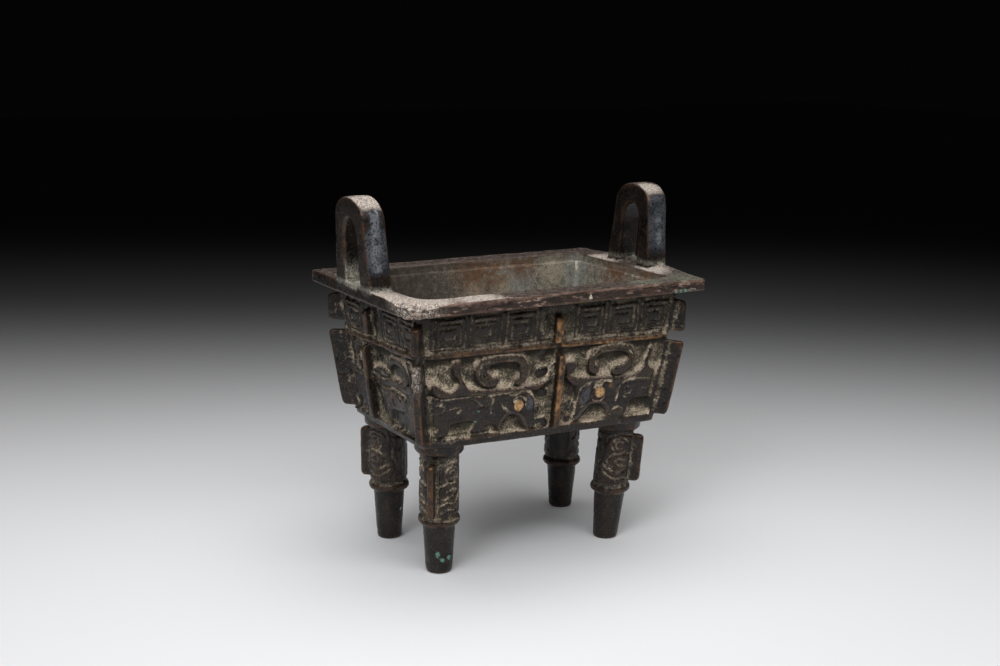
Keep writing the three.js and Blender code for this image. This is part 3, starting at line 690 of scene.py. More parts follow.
def rim(shape):
    """The flat rim, bowed up and out on its right side, with eased edges."""
    step = 1.0
    hx, hy = RIM_LENGTH / 2, RIM_WIDTH / 2
    inner_x, inner_y = half_length(RIM_TOP) - WALL, half_width(RIM_TOP) - WALL

    def ring(inset, z, share):
        """Inset from the outer edge, where share is 0, or from the inner edge, where it is 1."""
        outer = rectangle(hx - inset, hy - inset, step, RIM_CORNERS)
        inner = rectangle(inner_x + inset, inner_y + inset, step, CAVITY_CORNERS)
        points = mix(outer, inner, share)
        bow = np.cos(np.clip(np.abs(points[:, 1]) / hy, 0, 1) * math.pi / 2) ** 2
        bow = bow * smooth(0.4, 1.0, points[:, 0] / hx) * (1 - share)
        points[:, 0] += RIM_BOW_OUT * bow
        return np.column_stack([points, z + RIM_BOW_UP * bow])

    under, top = RIM_UNDER, RIM_TOP
    sections = [(0.4, under, 0), (0, under + 0.4, 0), (0.1, top - 0.5, 0), (0.5, top - 0.05, 0),
                (1.4, top, 0), (0, top - 0.1, 0.55), (1.4, top, 1), (0.5, top - 0.2, 1), (0, top - 1.0, 1),
                (0, under - 2.5, 1), (2.5, under - 1.5, 1)]
    shape.loft([ring(*section) for section in sections], closed=True)


def loop(low, shoulder, top, foot_half, half):
    """A path up one side, over an arch and down the other."""
    heights = np.linspace(low, shoulder, 16)[:-1]
    side = [(mix(foot_half, half, (z - low) / (shoulder - low)), z) for z in heights]
    over = arc(0, shoulder, half, top - shoulder, 0, 180, 28).tolist()
    return side + over + [(-y, z) for y, z in reversed(side)]


def handle(shape, side, face, middle, foot, shoulder, base):
    """An upright loop: a section swept up one leg, over the arch and down the other."""
    low = base - HANDLE_SINK
    outer = loop(low, HANDLE_SHOULDER, HANDLE_TOP, foot, shoulder)
    inner = loop(low, HOLE_TOP - HOLE_HALF[1] * 1.5, HOLE_TOP, *HOLE_HALF)
    half = HANDLE_THICK / 2
    edge = 0.055
    # Across the band (0 at the hole, 1 outside) and through its thickness.
    section = [(0, -half + 0.9), (edge, -half), (1 - edge, -half), (1, -half + 0.7), (1.015, 0),
               (1, half - 0.7), (1 - edge, half), (0.5, half + 0.05), (edge * 2, half - 0.1), (0, half - 1.0)]
    lean = HANDLE_FLARE / (HANDLE_TOP - RIM_TOP)
    rings = []
    for (oy, oz), (iy, iz) in zip(outer, inner):
        ring = []
        for across, through in section:
            y, z = mix(iy, oy, across), mix(iz, oz, across)
            ring.append((side * (face + half + lean * (z - base) + through), middle + y, z))
        rings.append(ring)
    shape.loft(rings)


def plate(shape, root, direction, outline, thick):
    """An upright plate: an outline of (reach, level) with eased faces, standing out along a direction."""
    direction = np.array(direction, float)
    direction /= np.hypot(*direction)
    across = np.array([-direction[1], direction[0]])
    centre = np.mean(outline, 0)
    rings = []
    for offset, inset in ((-1, 0.35), (-0.72, 0.0), (0.72, 0.0), (1, 0.35)):
        ring = []
        for reach, z in outline:
            pull = inset if reach > 1 else 0
            level = z - inset * np.sign(z - centre[1])
            at = np.array(root(level)) + direction * (reach - pull * np.sign(reach - centre[0]))
            ring.append((*(at + across * offset * thick / 2), level))
        rings.append(ring)
    shape.loft(rings)


def upper_flange(shape, root, way, thick, reach, head, low, high):
    outline = [(-SINK, low), (reach - 0.6, low), (reach, low + 0.8), (head + 0.2, high - 1.4),
               (head - 1.2, high), (-SINK, high + 0.8)]
    plate(shape, root, way, outline, thick)


def lower_flange(shape, root, way, thick, reach, low, high, slant=2.6):
    outline = [(-SINK, low), (reach - 1.2, low), (reach - 0.2, low + 1.4), (reach, low + 4),
               (reach, high - 1.6), (reach - 0.8, high), (-SINK, high + slant)]
    plate(shape, root, way, outline, thick)


def flanges(shape):
    """Flanges at the corners and at the middle of each wall, in an upper and a lower length."""
    for sx, sy in CAVITY_CORNERS:
        corner = lambda z: (sx * half_length(z), sy * half_width(z))
        upper_flange(shape, corner, (sx, sy), **CORNER_UPPER)
        lower_flange(shape, corner, (sx, sy), **CORNER_LOWER, slant=0.6)
    for name, way in (("front", (0, -1)), ("back", (0, 1)), ("left", (-1, 0)), ("right", (1, 0))):
        for middle, make, f in zip(MIDDLES[name], (upper_flange, lower_flange), (MIDDLE_UPPER, MIDDLE_LOWER)):
            on_long_side = lambda z: (middle, way[1] * half_width(z))
            on_short_side = lambda z: (way[0] * half_length(z), middle)
            make(shape, on_short_side if way[0] else on_long_side, way, **f)


def leg_field():
    """Scrolls of a leg, measured round it from its flange, one side of it."""
    r = Relief(-2, 28, 22, 62)
    low, high = 26.6, 52.6
    r.area([(1, low), (1, high), (22, high), (22, low)], 0.75, 0.0, soft=0.6, rounded=False)
    r.area([(-2, low), (-2, high), (2.4, high), (2.4, low)], 0.0, 0.8, soft=0.4, rounded=False)
    for at, size in (((8.6, 46.0), 3.7), ((8.9, 46.2), 1.9)):
        r.groove(arc(*at, size, size, 160, -150, 14), 0.9, 0.8, 0.75)
    r.groove([(2.6, 50.4), (5.4, 51.2), (9, 51.4), (13, 50.6), (15, 48)], 0.9, 0.7, 0.45)
    r.groove([(3.0, 41.2), (6, 42.4), (10, 42.2), (13.6, 40.4), (13.8, 37.0), (11.4, 35.6)], 1.0, 0.8, 0.8)
    r.groove([(5.8, 38.4), (8.2, 39.6), (10.4, 38.6), (9.4, 36.9), (6.6, 36.2), (4.2, 35.0)], 0.9, 0.8, 0.8)
    r.groove([(2.8, 32.6), (6.2, 33.8), (9.4, 33.2), (12.6, 34.8), (15.6, 36.6)], 1.0, 0.8, 0.8)
    r.groove([(3.0, 28.8), (6.2, 30.6), (9.8, 30.0), (13.2, 31.6), (16, 34)], 1.0, 0.8, 0.7)
    r.groove([(15.6, 51), (17.6, 46), (16.8, 41), (18.6, 37)], 0.9, 0.7, 0.4)
    r.groove(arc(19.6, 46, 2.4, 3.2, 180, -90), 0.8, 0.7, 0.3)
    r.groove([(16.6, 29), (19, 32), (20.8, 30)], 0.8, 0.6, 0.4)
    r.area([(-2, 24), (-2, 27.4), (28, 27.4), (28, 24)], 0.0, 0.9, soft=0.6, rounded=False)
    r.settle(foot=0, quiet_above=BODY_BOTTOM)
    return r


LEG_FIELD = leg_field()
# A leg's radius by level: foot, ring, scrolled shaft and collar.
LEG_PROFILE = np.array([(4.9, 0), (5.5, 0.35), (5.75, 1.0), (6.2, 8), (7.1, 21.2), (7.5, 22.2), (8.9, 22.7),
                        (9.3, 23.6), (9.35, 24.6), (8.9, 25.5), (8.2, 26.1), (8.1, 27), (8.1, 40),
                        (8.15, 52.6), (8.9, 53.4), (10.2, 54), (10.9, 55), (11, 57), (11, 59)])


def leg_axis(leg, z):
    t = np.asarray(z) / BODY_BOTTOM
    return mix(leg["foot"][0], leg["head"][0], t), mix(leg["foot"][1], leg["head"][1], t)


def leg_outward(leg):
    return math.atan2(leg["side"][1], leg["side"][0])


def from_flange(angle):
    """How far round a leg an angle is from its flange, either way."""
    return np.abs((angle + math.pi) % (2 * math.pi) - math.pi)


def leg_rings(leg):
    radii, heights = LEG_PROFILE.T
    angle = np.radians(np.arange(0, 360, 3.0))
    turn = from_flange(angle)
    for level in np.concatenate([heights[:12], np.arange(27.4, 53, 0.5), heights[13:]]):
        raised = LEG_FIELD.sample(turn * LEG_RADIUS, np.full(len(turn), level))[HEIGHT]
        raised = raised * smooth(26.4, 27.2, level) * (1 - smooth(52, 53, level))
        r = np.interp(level, heights, radii) + raised
        z = level + leg["lift"] * smooth(2, 20, level) * (1 - smooth(51, 57, level))
        cx, cy = leg_axis(leg, z)
        turned = angle + leg_outward(leg)
        yield np.stack([cx + r * np.cos(turned), cy + r * np.sin(turned), np.full(len(angle), z)], 1)


def legs(shape):
    f = LEG_FLANGE
    for leg in LEGS:
        shape.loft(list(leg_rings(leg)))
        low, high, reach = f["low"] + leg["lift"], f["high"] + leg["lift"], LEG_RADIUS + f["reach"]
        outline = [(2, low), (reach - 1.2, low), (reach - 0.2, low + 1.0), (reach, low + 2.4),
                   (reach, high - 2.2), (reach - 0.4, high - 0.8), (reach - 1.8, high), (2, high + 0.4)]
        plate(shape, lambda z: leg_axis(leg, z), leg["side"], outline, f["thick"])


def get_points(mesh):
    flat = np.empty(len(mesh.vertices) * 3, np.float32)
    mesh.vertices.foreach_get("co", flat)
    return flat.reshape(-1, 3).astype(float)


def set_points(mesh, points):
    mesh.vertices.foreach_set("co", np.asarray(points, np.float32).ravel())
    mesh.update()


def get_normals(mesh):
    flat = np.empty(len(mesh.vertices) * 3, np.float32)
    mesh.vertex_normals.foreach_get("vector", flat)
    return flat.reshape(-1, 3).astype(float)


def get_edges(mesh):
    flat = np.empty(len(mesh.edges) * 2, np.int32)
    mesh.edges.foreach_get("vertices", flat)
    return flat.reshape(-1, 2)


def averaged(values, edges, times):
    """Values blended with those of their neighbours."""
    count = np.bincount(edges.ravel(), minlength=len(values)) + 1.0
    for _ in range(times):
        total = values.copy()
        total += np.bincount(edges[:, 0], values[edges[:, 1]], len(values))
        total += np.bincount(edges[:, 1], values[edges[:, 0]], len(values))
        values = total / count
    return values


def applied(obj, kind, **settings):
    """The object's mesh with one modifier carried out."""
    modifier = obj.modifiers.new(kind.lower(), kind)
    for key, value in settings.items():
        setattr(modifier, key, value)
    graph = bpy.context.evaluated_depsgraph_get()
    made = bpy.data.meshes.new_from_object(obj.evaluated_get(graph))
    obj.modifiers.clear()
    old = obj.data
    obj.data = made
    bpy.data.meshes.remove(old)
    return made


def cast(points, normals):
    """What casting and wear did to the surface: swellings, lumps and pits, and two broken places."""
    x, y, z = points.T
    free = smooth(0.5, 3.0, z)
    hidden = (np.abs(x) < half_length(z) - 1.5) & (np.abs(y) < half_width(z) - 1.5) & (z > BODY_BOTTOM - 2)
    shell = np.where(hidden, 0.3, 1.0)
    swell = 0.16 * noise(points, 17.0, 21) + 0.09 * noise(points, 6.0, 22)
    lumps = 0.05 * noise(points, 1.7, 23) + 0.035 * noise(points, 0.9, 24)
    pits = -0.22 * smooth(0.62, 0.85, noise(points, 2.3, 25))
    drawn = np.stack([x / 7, y / 7, z], 1)
    streaks = 0.07 * noise(drawn, 0.9, 26) * smooth(RIM_UNDER - 0.5, RIM_UNDER + 0.5, z) * (z < RIM_TOP + 2.5)
    moved = points + normals * ((swell + (lumps + pits) * shell + streaks) * free)[:, None]

    # The near left corner of the rim is eaten away along its upper edge.
    along_front = smooth(-54, -68, x) * smooth(-45.5, -48.5, y)
    along_left = smooth(-70.5, -73.5, x) * smooth(-26, -40, y)
    bite = np.maximum(along_front, along_left) * smooth(RIM_UNDER + 0.3, RIM_TOP - 1.2, z) * (z > RIM_UNDER)
    rough = 0.6 + 0.6 * noise(points, 2.8, 31) + 0.55 * noise(points, 1.4, 32)
    moved[:, 2] -= bite * (1.5 * rough + 0.35)
    side = (z > RIM_UNDER - 0.6) & (z < RIM_TOP + 1)
    crumb_left = smooth(-73, -74.4, x) * smooth(-36, -44, y)
    crumb = np.maximum(along_front * smooth(-47.6, -49.4, y), crumb_left) * side
    moved += normals * (-crumb * np.clip(0.5 + layered_noise(points, 2.4, 33), 0, 2) * 1.05)[:, None]

    # The top of the near left lower flange is broken and rough.
    out_x, out_y = -x - half_length(z), -y - half_width(z)
    torn = smooth(84, 92, z) * (1 - smooth(98, 99.5, z)) * smooth(1.2, 2.6, np.minimum(out_x, out_y))
    moved += normals * (-torn * np.clip(0.45 + layered_noise(points, 2.2, 41), -0.3, 1.6) * 0.9)[:, None]
    rubble = np.clip(np.maximum(np.maximum(bite, crumb), torn), 0, 1)
    return moved, rubble


# What the material reads at each vertex, from 0 to 1; shade is painted shade, the ledge mask a painted
# highlight and lit painted light.
# Rub and grey go on to 2 on the eyes and on the handles' strips of painted reflection, and rimside to 2 along
# the rim's top edge, where a highlight is painted.
MASKS = ("dirt", "rub", "grey", "inside", "dusty", "edge", "hollow", "rubble", "rimside", "tone", "bloom",
         "shade", "ledge", "lit")
FROM_RELIEF = {"dirt": DIRT, "rub": RUB, "grey": GREY, "shade": SHADE, "ledge": LEDGE_HIGHLIGHT}
NEAR_LEG = (-1, -1)
# How far in and out of a wall's face its field still marks the surface.
NEAR_WALL = (-1.2, 3.6)


def bends(points, normals, edges):
    """How far each vertex stands out from its neighbours, closely and broadly: below zero in corners."""
    count = len(points)
    offset = points[edges[:, 1]] - points[edges[:, 0]]
    length = np.maximum((offset**2).sum(1), 1e-9)
    bend = np.bincount(edges[:, 0], -(offset * normals[edges[:, 0]]).sum(1) / length, count)
    bend += np.bincount(edges[:, 1], (offset * normals[edges[:, 1]]).sum(1) / length, count)
    bend /= np.maximum(np.bincount(edges.ravel(), minlength=count), 1)
    return averaged(bend, edges, 2) * VOXEL, averaged(bend, edges, 9) * VOXEL


def beside_walls(points):
    """Each wall's name, how far out of it the points stand, their places along it, and its half length."""
    x, y, z = points.T
    flat = z - sag(x, z)
    hx, hy = half_length(flat), half_width(flat)
    return [("front", -y - hy, x, hx), ("left", -x - hx, y, hy), ("right", x - hx, y, hy),
            ("back", y - hy, x, hx)]


def outside_body(points):
    """How far the points stand out past the body's sides, along and across."""
    x, y, z = points.T
    return np.abs(x) - half_length(z), np.abs(y) - half_width(z)


def wall_band(z):
    return (z > BODY_BOTTOM + 1) & (z < RIM_UNDER)


def lift(mask, where, value):
    mask[where] = np.maximum(mask[where], value)


def flange_ends(m, z, name, out, along):
    """The outer edges of a wall's middle flanges are rubbed."""
    for f, middle in zip((MIDDLE_UPPER, MIDDLE_LOWER), MIDDLES[name]):
        end = np.abs(along - middle) < f["thick"] / 2 + 0.3
        end &= (out > f.get("head", f["reach"]) - 0.7) & (z > f["low"] - 1) & (z < f["high"] + 1)
        lift(m["rub"], end, 0.85 if name in ("front", "back") else 0.2)


def wall_masks(m, points):
    """Carries the marks of the walls' fields over, painted shade, highlight and light among them, adds
    painted shade to the left wall and under the rim, and gives back where their relief lies.
    """
    relief = np.zeros(len(points))
    for name, out, along, room in beside_walls(points):
        z = points[:, 2]
        flange_ends(m, z, name, out, along)
        here = wall_band(z) & (out > NEAR_WALL[0]) & (out < NEAR_WALL[1]) & (np.abs(along) < room + 0.5)
        z, out, along, room = z[here], out[here], along[here], room[here]
        on_flange = (room - np.abs(along) < 1.4) & (out > 0.6)
        for middle, low, high in zip(MIDDLES[name], (100.5, 60.5), (118, 99)):
            on_flange |= (np.abs(along - middle) < 2.3) & (out > 0.9) & (z > low) & (z < high)
        hold = np.where(on_flange, 0.0, 1.0)
        values = on_wall(name, along, z)
        for mask, channel in FROM_RELIEF.items():
            lift(m[mask], here, values[channel] * hold)
        lift(m["tone"], here, smooth(PLATEAU - 0.1, PLATEAU + 0.25, values[HEIGHT]) * hold)
        # Painted shade: all of the left wall, and on the other walls the band above the ridge, under the rim.
        lift(m["shade"], here, (0.3 if name == "left" else 0.34 * smooth(99.5, 101.5, z)) * hold)
        lift(relief, here, hold)
        m["lit"][here] = mix(m["lit"][here], values[LIT], hold)
    x, z = points[:, 0], points[:, 2]
    m["dirt"] *= np.where(z < BASE_BAND_TOP - 0.6 + sag(x, z), 0.0, 1.0)
    return relief


def corner_dirt(m, points):
    """The roots of the corner flanges are dirty, most of all at the front right."""
    x, y, z = points.T
    out_x, out_y = outside_body(points)
    root = wall_band(z) & (np.minimum(out_x, out_y) > -0.3) & (z > BASE_BAND_TOP)
    amount = np.where((x > 0) & (y < 0), 0.7, 0.3)[root]
    lift(m["dirt"], root, amount * smooth(4.2, 2.6, np.hypot(out_x[root], out_y[root])))


def leg_masks(m, points):
    """Legs carry dirt in their scrolls and on the ring, with their field's painted shade, highlight and
    light, and painted shadow from the body over their upper parts. Gives back how much of an edge's wear is
    kept.
    """
    x, y, z = points.T
    edge_kept = np.ones(len(points))
    for leg in LEGS:
        cx, cy = leg_axis(leg, z)
        away = np.hypot(x - cx, y - cy)
        level = z - leg["lift"]
        here = (away < 9.8) & (level > 22) & (level < 54) & (z < BODY_BOTTOM)
        turn = from_flange(np.arctan2(y[here] - cy[here], x[here] - cx[here]) - leg_outward(leg))
        away, level = away[here], level[here]
        values = LEG_FIELD.sample(turn * LEG_RADIUS, level)
        edge_kept[here] = np.where(level > 26, 0.35, 1.0)
        # Painted shadow from the body darkens the upper parts of the legs, the three far ones most; these
        # also carry less of their field's marks.
        clean, body_shadow = (1.0, 0.15) if leg["side"] == NEAR_LEG else (0.45, 0.65)
        shown = smooth(24.6, 25.4, level) * (away < 9.4) * clean
        lift(m["dirt"], here, values[DIRT] * shown * (1 - 0.5 * smooth(1.9, 2.6, turn)))
        lift(m["shade"], here, np.maximum(values[SHADE], body_shadow * smooth(26, 54, level)) * shown)
        lift(m["ledge"], here, values[LEDGE_HIGHLIGHT] * shown)
        m["lit"][here] = mix(m["lit"][here], values[LIT], shown)
    return edge_kept


# Painted reflections: grey strips on the near faces of the left and right handle.
REFLECTION_STRIPS = {-1: dict(left=-73.2, right=-69.0, low=133.0, high=160.0),
          1: dict(left=71.4, right=75.0, low=136.6, high=149.0)}


def handle_masks(m, points, normals):
    """Bloom at the handles' feet, and grey painted reflections on the faces towards the front."""
    x, y, z = points.T
    drift = 0.5 * noise(points, 5.0, 51)
    for one in HANDLES:
        aside = np.abs(y - one["middle"])
        across = x * one["side"] - one["face"]
        foot = one["base"]
        close = smooth(-1.6, -0.3, across) * smooth(HANDLE_THICK + 1.6, HANDLE_THICK + 0.3, across)
        close = close * smooth(one["foot"] + 1.6, one["foot"] + 0.4, aside)
        close = 0.45 * close * smooth(foot + 1.9, foot + 0.6, z) * smooth(foot - 1.2, foot - 0.4, z)
        m["bloom"] = np.maximum(m["bloom"], close)
        front = y < one["middle"]
        strip = REFLECTION_STRIPS[one["side"]]
        # Painted reflection: a grey strip on the near face, within the strip's bounds.
        shown = smooth(-0.75, -0.9, normals[:, 1]) * front * (z < strip["high"])
        shown = shown * smooth(strip["left"] - 0.3, strip["left"] + 0.3, x + drift)
        shown = shown * smooth(strip["right"] + 0.3, strip["right"] - 0.3, x + drift)
        shown = shown * smooth(strip["low"] - 0.4, strip["low"] + 0.4, z + drift)
        m["grey"] = np.maximum(m["grey"], 2 * shown)
        if one["side"] < 0:
            hole = (across > -0.5) & (across < HANDLE_THICK + 0.5) & (aside < HOLE_HALF[0] + 0.6)
            green = hole * (z > foot - 1.5) * smooth(foot + 12, foot + 1.5, z) * (y > one["middle"] - 4)
            m["bloom"] = np.maximum(m["bloom"], green)
        else:
            # Painted reflection: the right handle's face towards the front is greyed above its foot.
            face = smooth(-0.7, -0.9, normals[:, 1]) * front * (aside > HOLE_HALF[0] + 3)
            m["grey"] = np.maximum(m["grey"], 1.45 * face * smooth(131, 136, z + drift))


def masks(points, normals, edges, rubble):
    """Where the surface is dirty, rubbed, polished, dusty or inside, and where shade, highlights, reflections
    and light are painted, by name.
    """
    x, y, z = points.T
    m = {name: np.zeros(len(points)) for name in MASKS}
    m["lit"] += 0.5
    m["rubble"] = rubble
    relief = wall_masks(m, points)
    corner_dirt(m, points)
    edge_kept = leg_masks(m, points)
    handle_masks(m, points, normals)

    fine, broad = bends(points, normals, edges)
    m["hollow"] = smooth(-0.008, -0.05, broad)
    m["dusty"] = smooth(0.55, 0.85, normals[:, 2]) * smooth(RIM_UNDER + 1, RIM_TOP - 2.2, z)
    out_x, out_y = outside_body(points)
    inside = (out_x < 1.2 - WALL) & (out_y < 1.2 - WALL) & (z > BODY_BOTTOM + 3) & (z < RIM_TOP - 0.2)
    inside = inside.astype(float) * (1 - smooth(RIM_TOP - 1.4, RIM_TOP - 0.5, z))
    m["inside"] = averaged(inside, edges, 2)
    far_left = (out_x > 0.4) & (x < 0) & (y > -half_width(z) + 1) & (z > BASE_BAND_TOP - 1) & (z < RIM_UNDER)
    edge = smooth(0.035, 0.12, fine) * edge_kept * np.where(far_left, 0.3, 1.0)
    m["edge"] = edge * (1 - relief * (0.75 - 0.35 * m["tone"]) * (z > BASE_BAND_TOP + 0.5))
    # Painted shadow under the rim: the carving darkens over its last few millimetres below it.
    m["shade"] = np.maximum(m["shade"], relief * smooth(RIM_UNDER - 6.5, RIM_UNDER - 1, z))
    rimside = smooth(RIM_UNDER - 0.5, RIM_UNDER + 0.6, z) * (z < RIM_TOP + RIM_BOW_UP)
    rimside = rimside * (np.abs(normals[:, 2]) < 0.7) * (1 - inside)
    # Rimside doubles along the top edge, where a highlight is painted.
    m["rimside"] = rimside * smooth(47, 49, np.abs(y)) * (1 + smooth(RIM_TOP - 1.3, RIM_TOP - 0.5, z))
    return m


def carved_surfaces(points):
    x, y, z = points.T
    outside = (np.abs(x) > half_length(z) - 1.2) | (np.abs(y) > half_width(z) - 1.2)
    return outside & (z > BASE_BAND_TOP - 1) & (z < RIM_UNDER) | (z > LEG_RING) & (z < BODY_BOTTOM)


def hidden_surfaces(points):
    """The lower inside, the underside and the rim's under face."""
    x, y, z = points.T
    within = (np.abs(x) < half_length(z) - 1.5) & (np.abs(y) < half_width(z) - 1.5)
    under = (z > RIM_UNDER - 0.5) & (z < RIM_UNDER + 0.5)
    under = under & (np.abs(x) < RIM_LENGTH / 2 - 1) & (np.abs(y) < RIM_WIDTH / 2 - 1)
    return within & (z > BODY_BOTTOM - 0.5) & (z < 92) | under


def plain_surfaces(points):
    return ~carved_surfaces(points) & ~hidden_surfaces(points)


def near_carving(points):
    """The front and left walls, which face the camera."""
    x, y, z = points.T
    near = (-y > half_width(z) - 1.2) | (-x > half_length(z) - 1.2)
    return carved_surfaces(points) & (z > BODY_BOTTOM) & near


def far_carving(points):
    return carved_surfaces(points) & ~near_carving(points)


def thin(vessel, chosen, target):
    """Brings the chosen surfaces down to about a number of triangles and leaves the others alone."""
    mesh = vessel.data
    mesh.calc_loop_triangles()
    total = len(mesh.loop_triangles)
    picked = chosen(get_points(mesh))
    surplus = picked.mean() * total - target
    if surplus > 0:
        group = vessel.vertex_groups.new(name="thinned")
        group.add(np.flatnonzero(picked).tolist(), 1.0, "REPLACE")
        applied(vessel, "DECIMATE", ratio=1 - surplus / total, use_collapse_triangulate=True,
                vertex_group="thinned", vertex_group_factor=1000.0)
        vessel.vertex_groups.clear()


def make_vessel():
    shape = Shape()
    body(shape)
    rim(shape)
    for one in HANDLES:
        handle(shape, **one)
    flanges(shape)
    legs(shape)
    mesh = shape.mesh("square_ding_bronze")
    vessel = bpy.data.objects.new("square_ding_bronze", mesh)
    bpy.context.scene.collection.objects.link(vessel)
    mesh = applied(vessel, "REMESH", mode="VOXEL", voxel_size=VOXEL, adaptivity=0.0)
    points = get_points(mesh)
    points[:, 2] += sag(points[:, 0], points[:, 2])
    set_points(mesh, points)
    points, rubble = cast(points, get_normals(mesh))
    points[:, 2] = np.maximum(points[:, 2], 0)
    set_points(mesh, points)
    for name, values in masks(points, get_normals(mesh), get_edges(mesh), rubble).items():
        attribute = mesh.attributes.new(name, "FLOAT", "POINT")
        attribute.data.foreach_set("value", values.astype(np.float32))
    near_share = 1 - HIDDEN_SHARE - PLAIN_SHARE - FAR_SHARE
    for chosen, share in ((hidden_surfaces, HIDDEN_SHARE), (plain_surfaces, PLAIN_SHARE),
                          (far_carving, FAR_SHARE), (near_carving, near_share)):
        thin(vessel, chosen, share * MOST_TRIANGLES)
    mesh = vessel.data
    points = get_points(mesh)
    points[:, 2] -= points[:, 2].min()
    middle = (points.min(0) + points.max(0)) / 2
    points[:, :2] -= middle[:2]
    set_points(mesh, points * MM)
    mesh.polygons.foreach_set("use_smooth", np.ones(len(mesh.polygons), bool))
    return vessel, middle


class Value:
    """A number or colour inside a material, so that sums of them are written as sums."""

    def __init__(self, shader, socket):
        self.shader = shader
        self.socket = socket

    def __add__(self, other):
        return self.shader.math("ADD", self, other)

    def __sub__(self, other):
        return self.shader.math("SUBTRACT", self, other)

    def __rsub__(self, other):
        return self.shader.math("SUBTRACT", other, self)

    def __mul__(self, other):
        return self.shader.math("MULTIPLY", self, other)

    def clamped(self):
        self.socket.node.use_clamp = True
        return self

    def above(self, level):
        """What there is of a value above a level."""
        return (self - level).clamped()

    def swing(self, amount):
        """Noise from 0 to 1 as a swing about zero."""
        return (self - 0.5) * amount

    def step(self, low, high, to=1.0):
        """0 at low, up to `to` at high, and an even rise between them."""
        shader = self.shader
        node = shader.node("MapRange", Value=self)
        node.interpolation_type = "SMOOTHSTEP"
        for name, value in (("From Min", low), ("From Max", high), ("To Max", to)):
            node.inputs[name].default_value = value
        return Value(shader, node.outputs["Result"])


class Shader:
    """Short ways to build a material's nodes."""

    def __init__(self, name):
        self.material = bpy.data.materials.new(name)
        self.material.use_nodes = True
        self.tree = self.material.node_tree
        self.surface = self.tree.nodes["Principled BSDF"]
        self.place = Value(self, self.node("TexCoord").outputs["Object"])

    def put(self, socket, value):
        if isinstance(value, Value):
            self.tree.links.new(value.socket, socket)
        elif socket.type == "RGBA":
            socket.default_value = (*value, 1.0)
        else:
            socket.default_value = value

    def node(self, kind, *values, **named):
        """A new node of a kind, with values for its inputs in order or by name."""
        node = self.tree.nodes.new("ShaderNode" + kind)
        for key, value in [*enumerate(values), *named.items()]:
            self.put(node.inputs[key], value)
        return node

    def math(self, operation, a, b):
        node = self.node("Math", a, b)
        node.operation = operation
        return Value(self, node.outputs[0])

    def highest(self, first, *others):
        for other in others:
            first = self.math("MAXIMUM", first, other)
        return first

    def mix(self, factor, a, b):
        """Between two colours."""
        node = self.node("Mix")
        node.data_type = "RGBA"
        for name, value in (("Factor", factor), ("A", a), ("B", b)):
            self.put(node.inputs[name], value)
        return Value(self, node.outputs["Result"])

    def blend(self, factor, a, b):
        """Between two numbers."""
        return Value(self, self.node("Mix", Factor=factor, A=a, B=b).outputs["Result"])

    def attribute(self, name):
        node = self.node("Attribute")
        node.attribute_name = name
        return Value(self, node.outputs["Fac"])

    def noise(self, size, detail=3.0, roughness=0.55, shift=0.0, stretch=(1, 1, 1)):
        """Noise whose features are about size millimetres wide."""
        move = self.node("Mapping", Vector=self.place, Location=(shift, shift * 0.7, shift * 1.3),
                         Scale=stretch)
        vector = Value(self, move.outputs["Vector"])
        node = self.node("TexNoise", Vector=vector, Scale=1 / (size * MM), Detail=detail, Roughness=roughness)
        return Value(self, node.outputs["Fac"])

    def away(self, centre):
        """How far a place in metres is."""
        node = self.node("VectorMath", self.place, centre)
        node.operation = "DISTANCE"
        return Value(self, node.outputs["Value"])

    def bump(self, height, strength, distance, **under):
        node = self.node("Bump", Height=height, Strength=strength, Distance=distance * MM, **under)
        return Value(self, node.outputs["Normal"])


# Malachite and pale specks: places in millimetres from the middle of the rim, and radii.
GREEN = [((-50.4, -29.6, 9.6), 1.5), ((-48.2, -30.2, 7.0), 1.0), ((-45.2, -29.6, 7.2), 0.8),
         ((-35.0, -35.6, 74.4), 0.7), ((-35.4, -35.2, 69.6), 0.8), ((-33.0, -34.8, 65.0), 0.9),
         ((-35.2, -34.6, 62.4), 0.5), ((9.0, -41.6, 74.2), 0.8), ((-72.6, 3.0, 159.0), 0.6),
         ((66.5, -50.0, 121.2), 0.8), ((69.0, -50.0, 121.5), 0.6), ((63.6, -50.0, 121.0), 0.8),
         ((61.0, -50.0, 120.8), 0.6), ((58.6, -50.0, 120.7), 0.5), ((4.4, -45.6, 107.4), 0.6)]
PALE = [((-28.9, -37.6, 87.9), 0.5), ((-13.2, -41, 103.2), 0.8), ((12.6, -49.8, 122.4), 0.6),
        ((41, -34, 58.6), 0.6), ((-60.6, -33.6, 101.6), 0.5), ((-44.4, 18.2, 14.6), 0.6)]
# The pale line down the far inner corner.
PALE += [((half_length(z) - WALL - 0.9, half_width(z) - WALL - 0.9, z), 0.42) for z in range(110, 125)]

# Clouds of dust, film and stain: places and radii in the same way.
DUST = [((-66, -40, 125.7), 17), ((-76, -24, 125.7), 12), ((62, -20, 127), 12), ((62, 18, 127), 12),
        ((-62, 26, 125.7), 9), ((-40, -46, 125.7), 12), ((-70, -5, 163), 12), ((71, -10, 162), 8)]
RIM_FILM = [((66, -44, 125.7), 11), ((46, -44, 125.7), 9)]
RUST = [((4, 37, 121), 11), ((15, 37, 119), 9), ((31, 37, 123), 9), ((63, 4, 121), 11), ((62, -22, 121), 9),
        ((-20, -37, 112), 12)]
BEIGE = [((3, 37, 111), 5), ((19, 37, 113), 6), ((48, 37, 118), 7)]
BLUE = [((29, 37, 113), 7), ((62, 36, 115), 8), ((20, 37, 119.5), 3.4), ((-46, 30, 112), 6)]


# How far the edge of a speck wanders, in millimetres.
RAGGED = 4.2


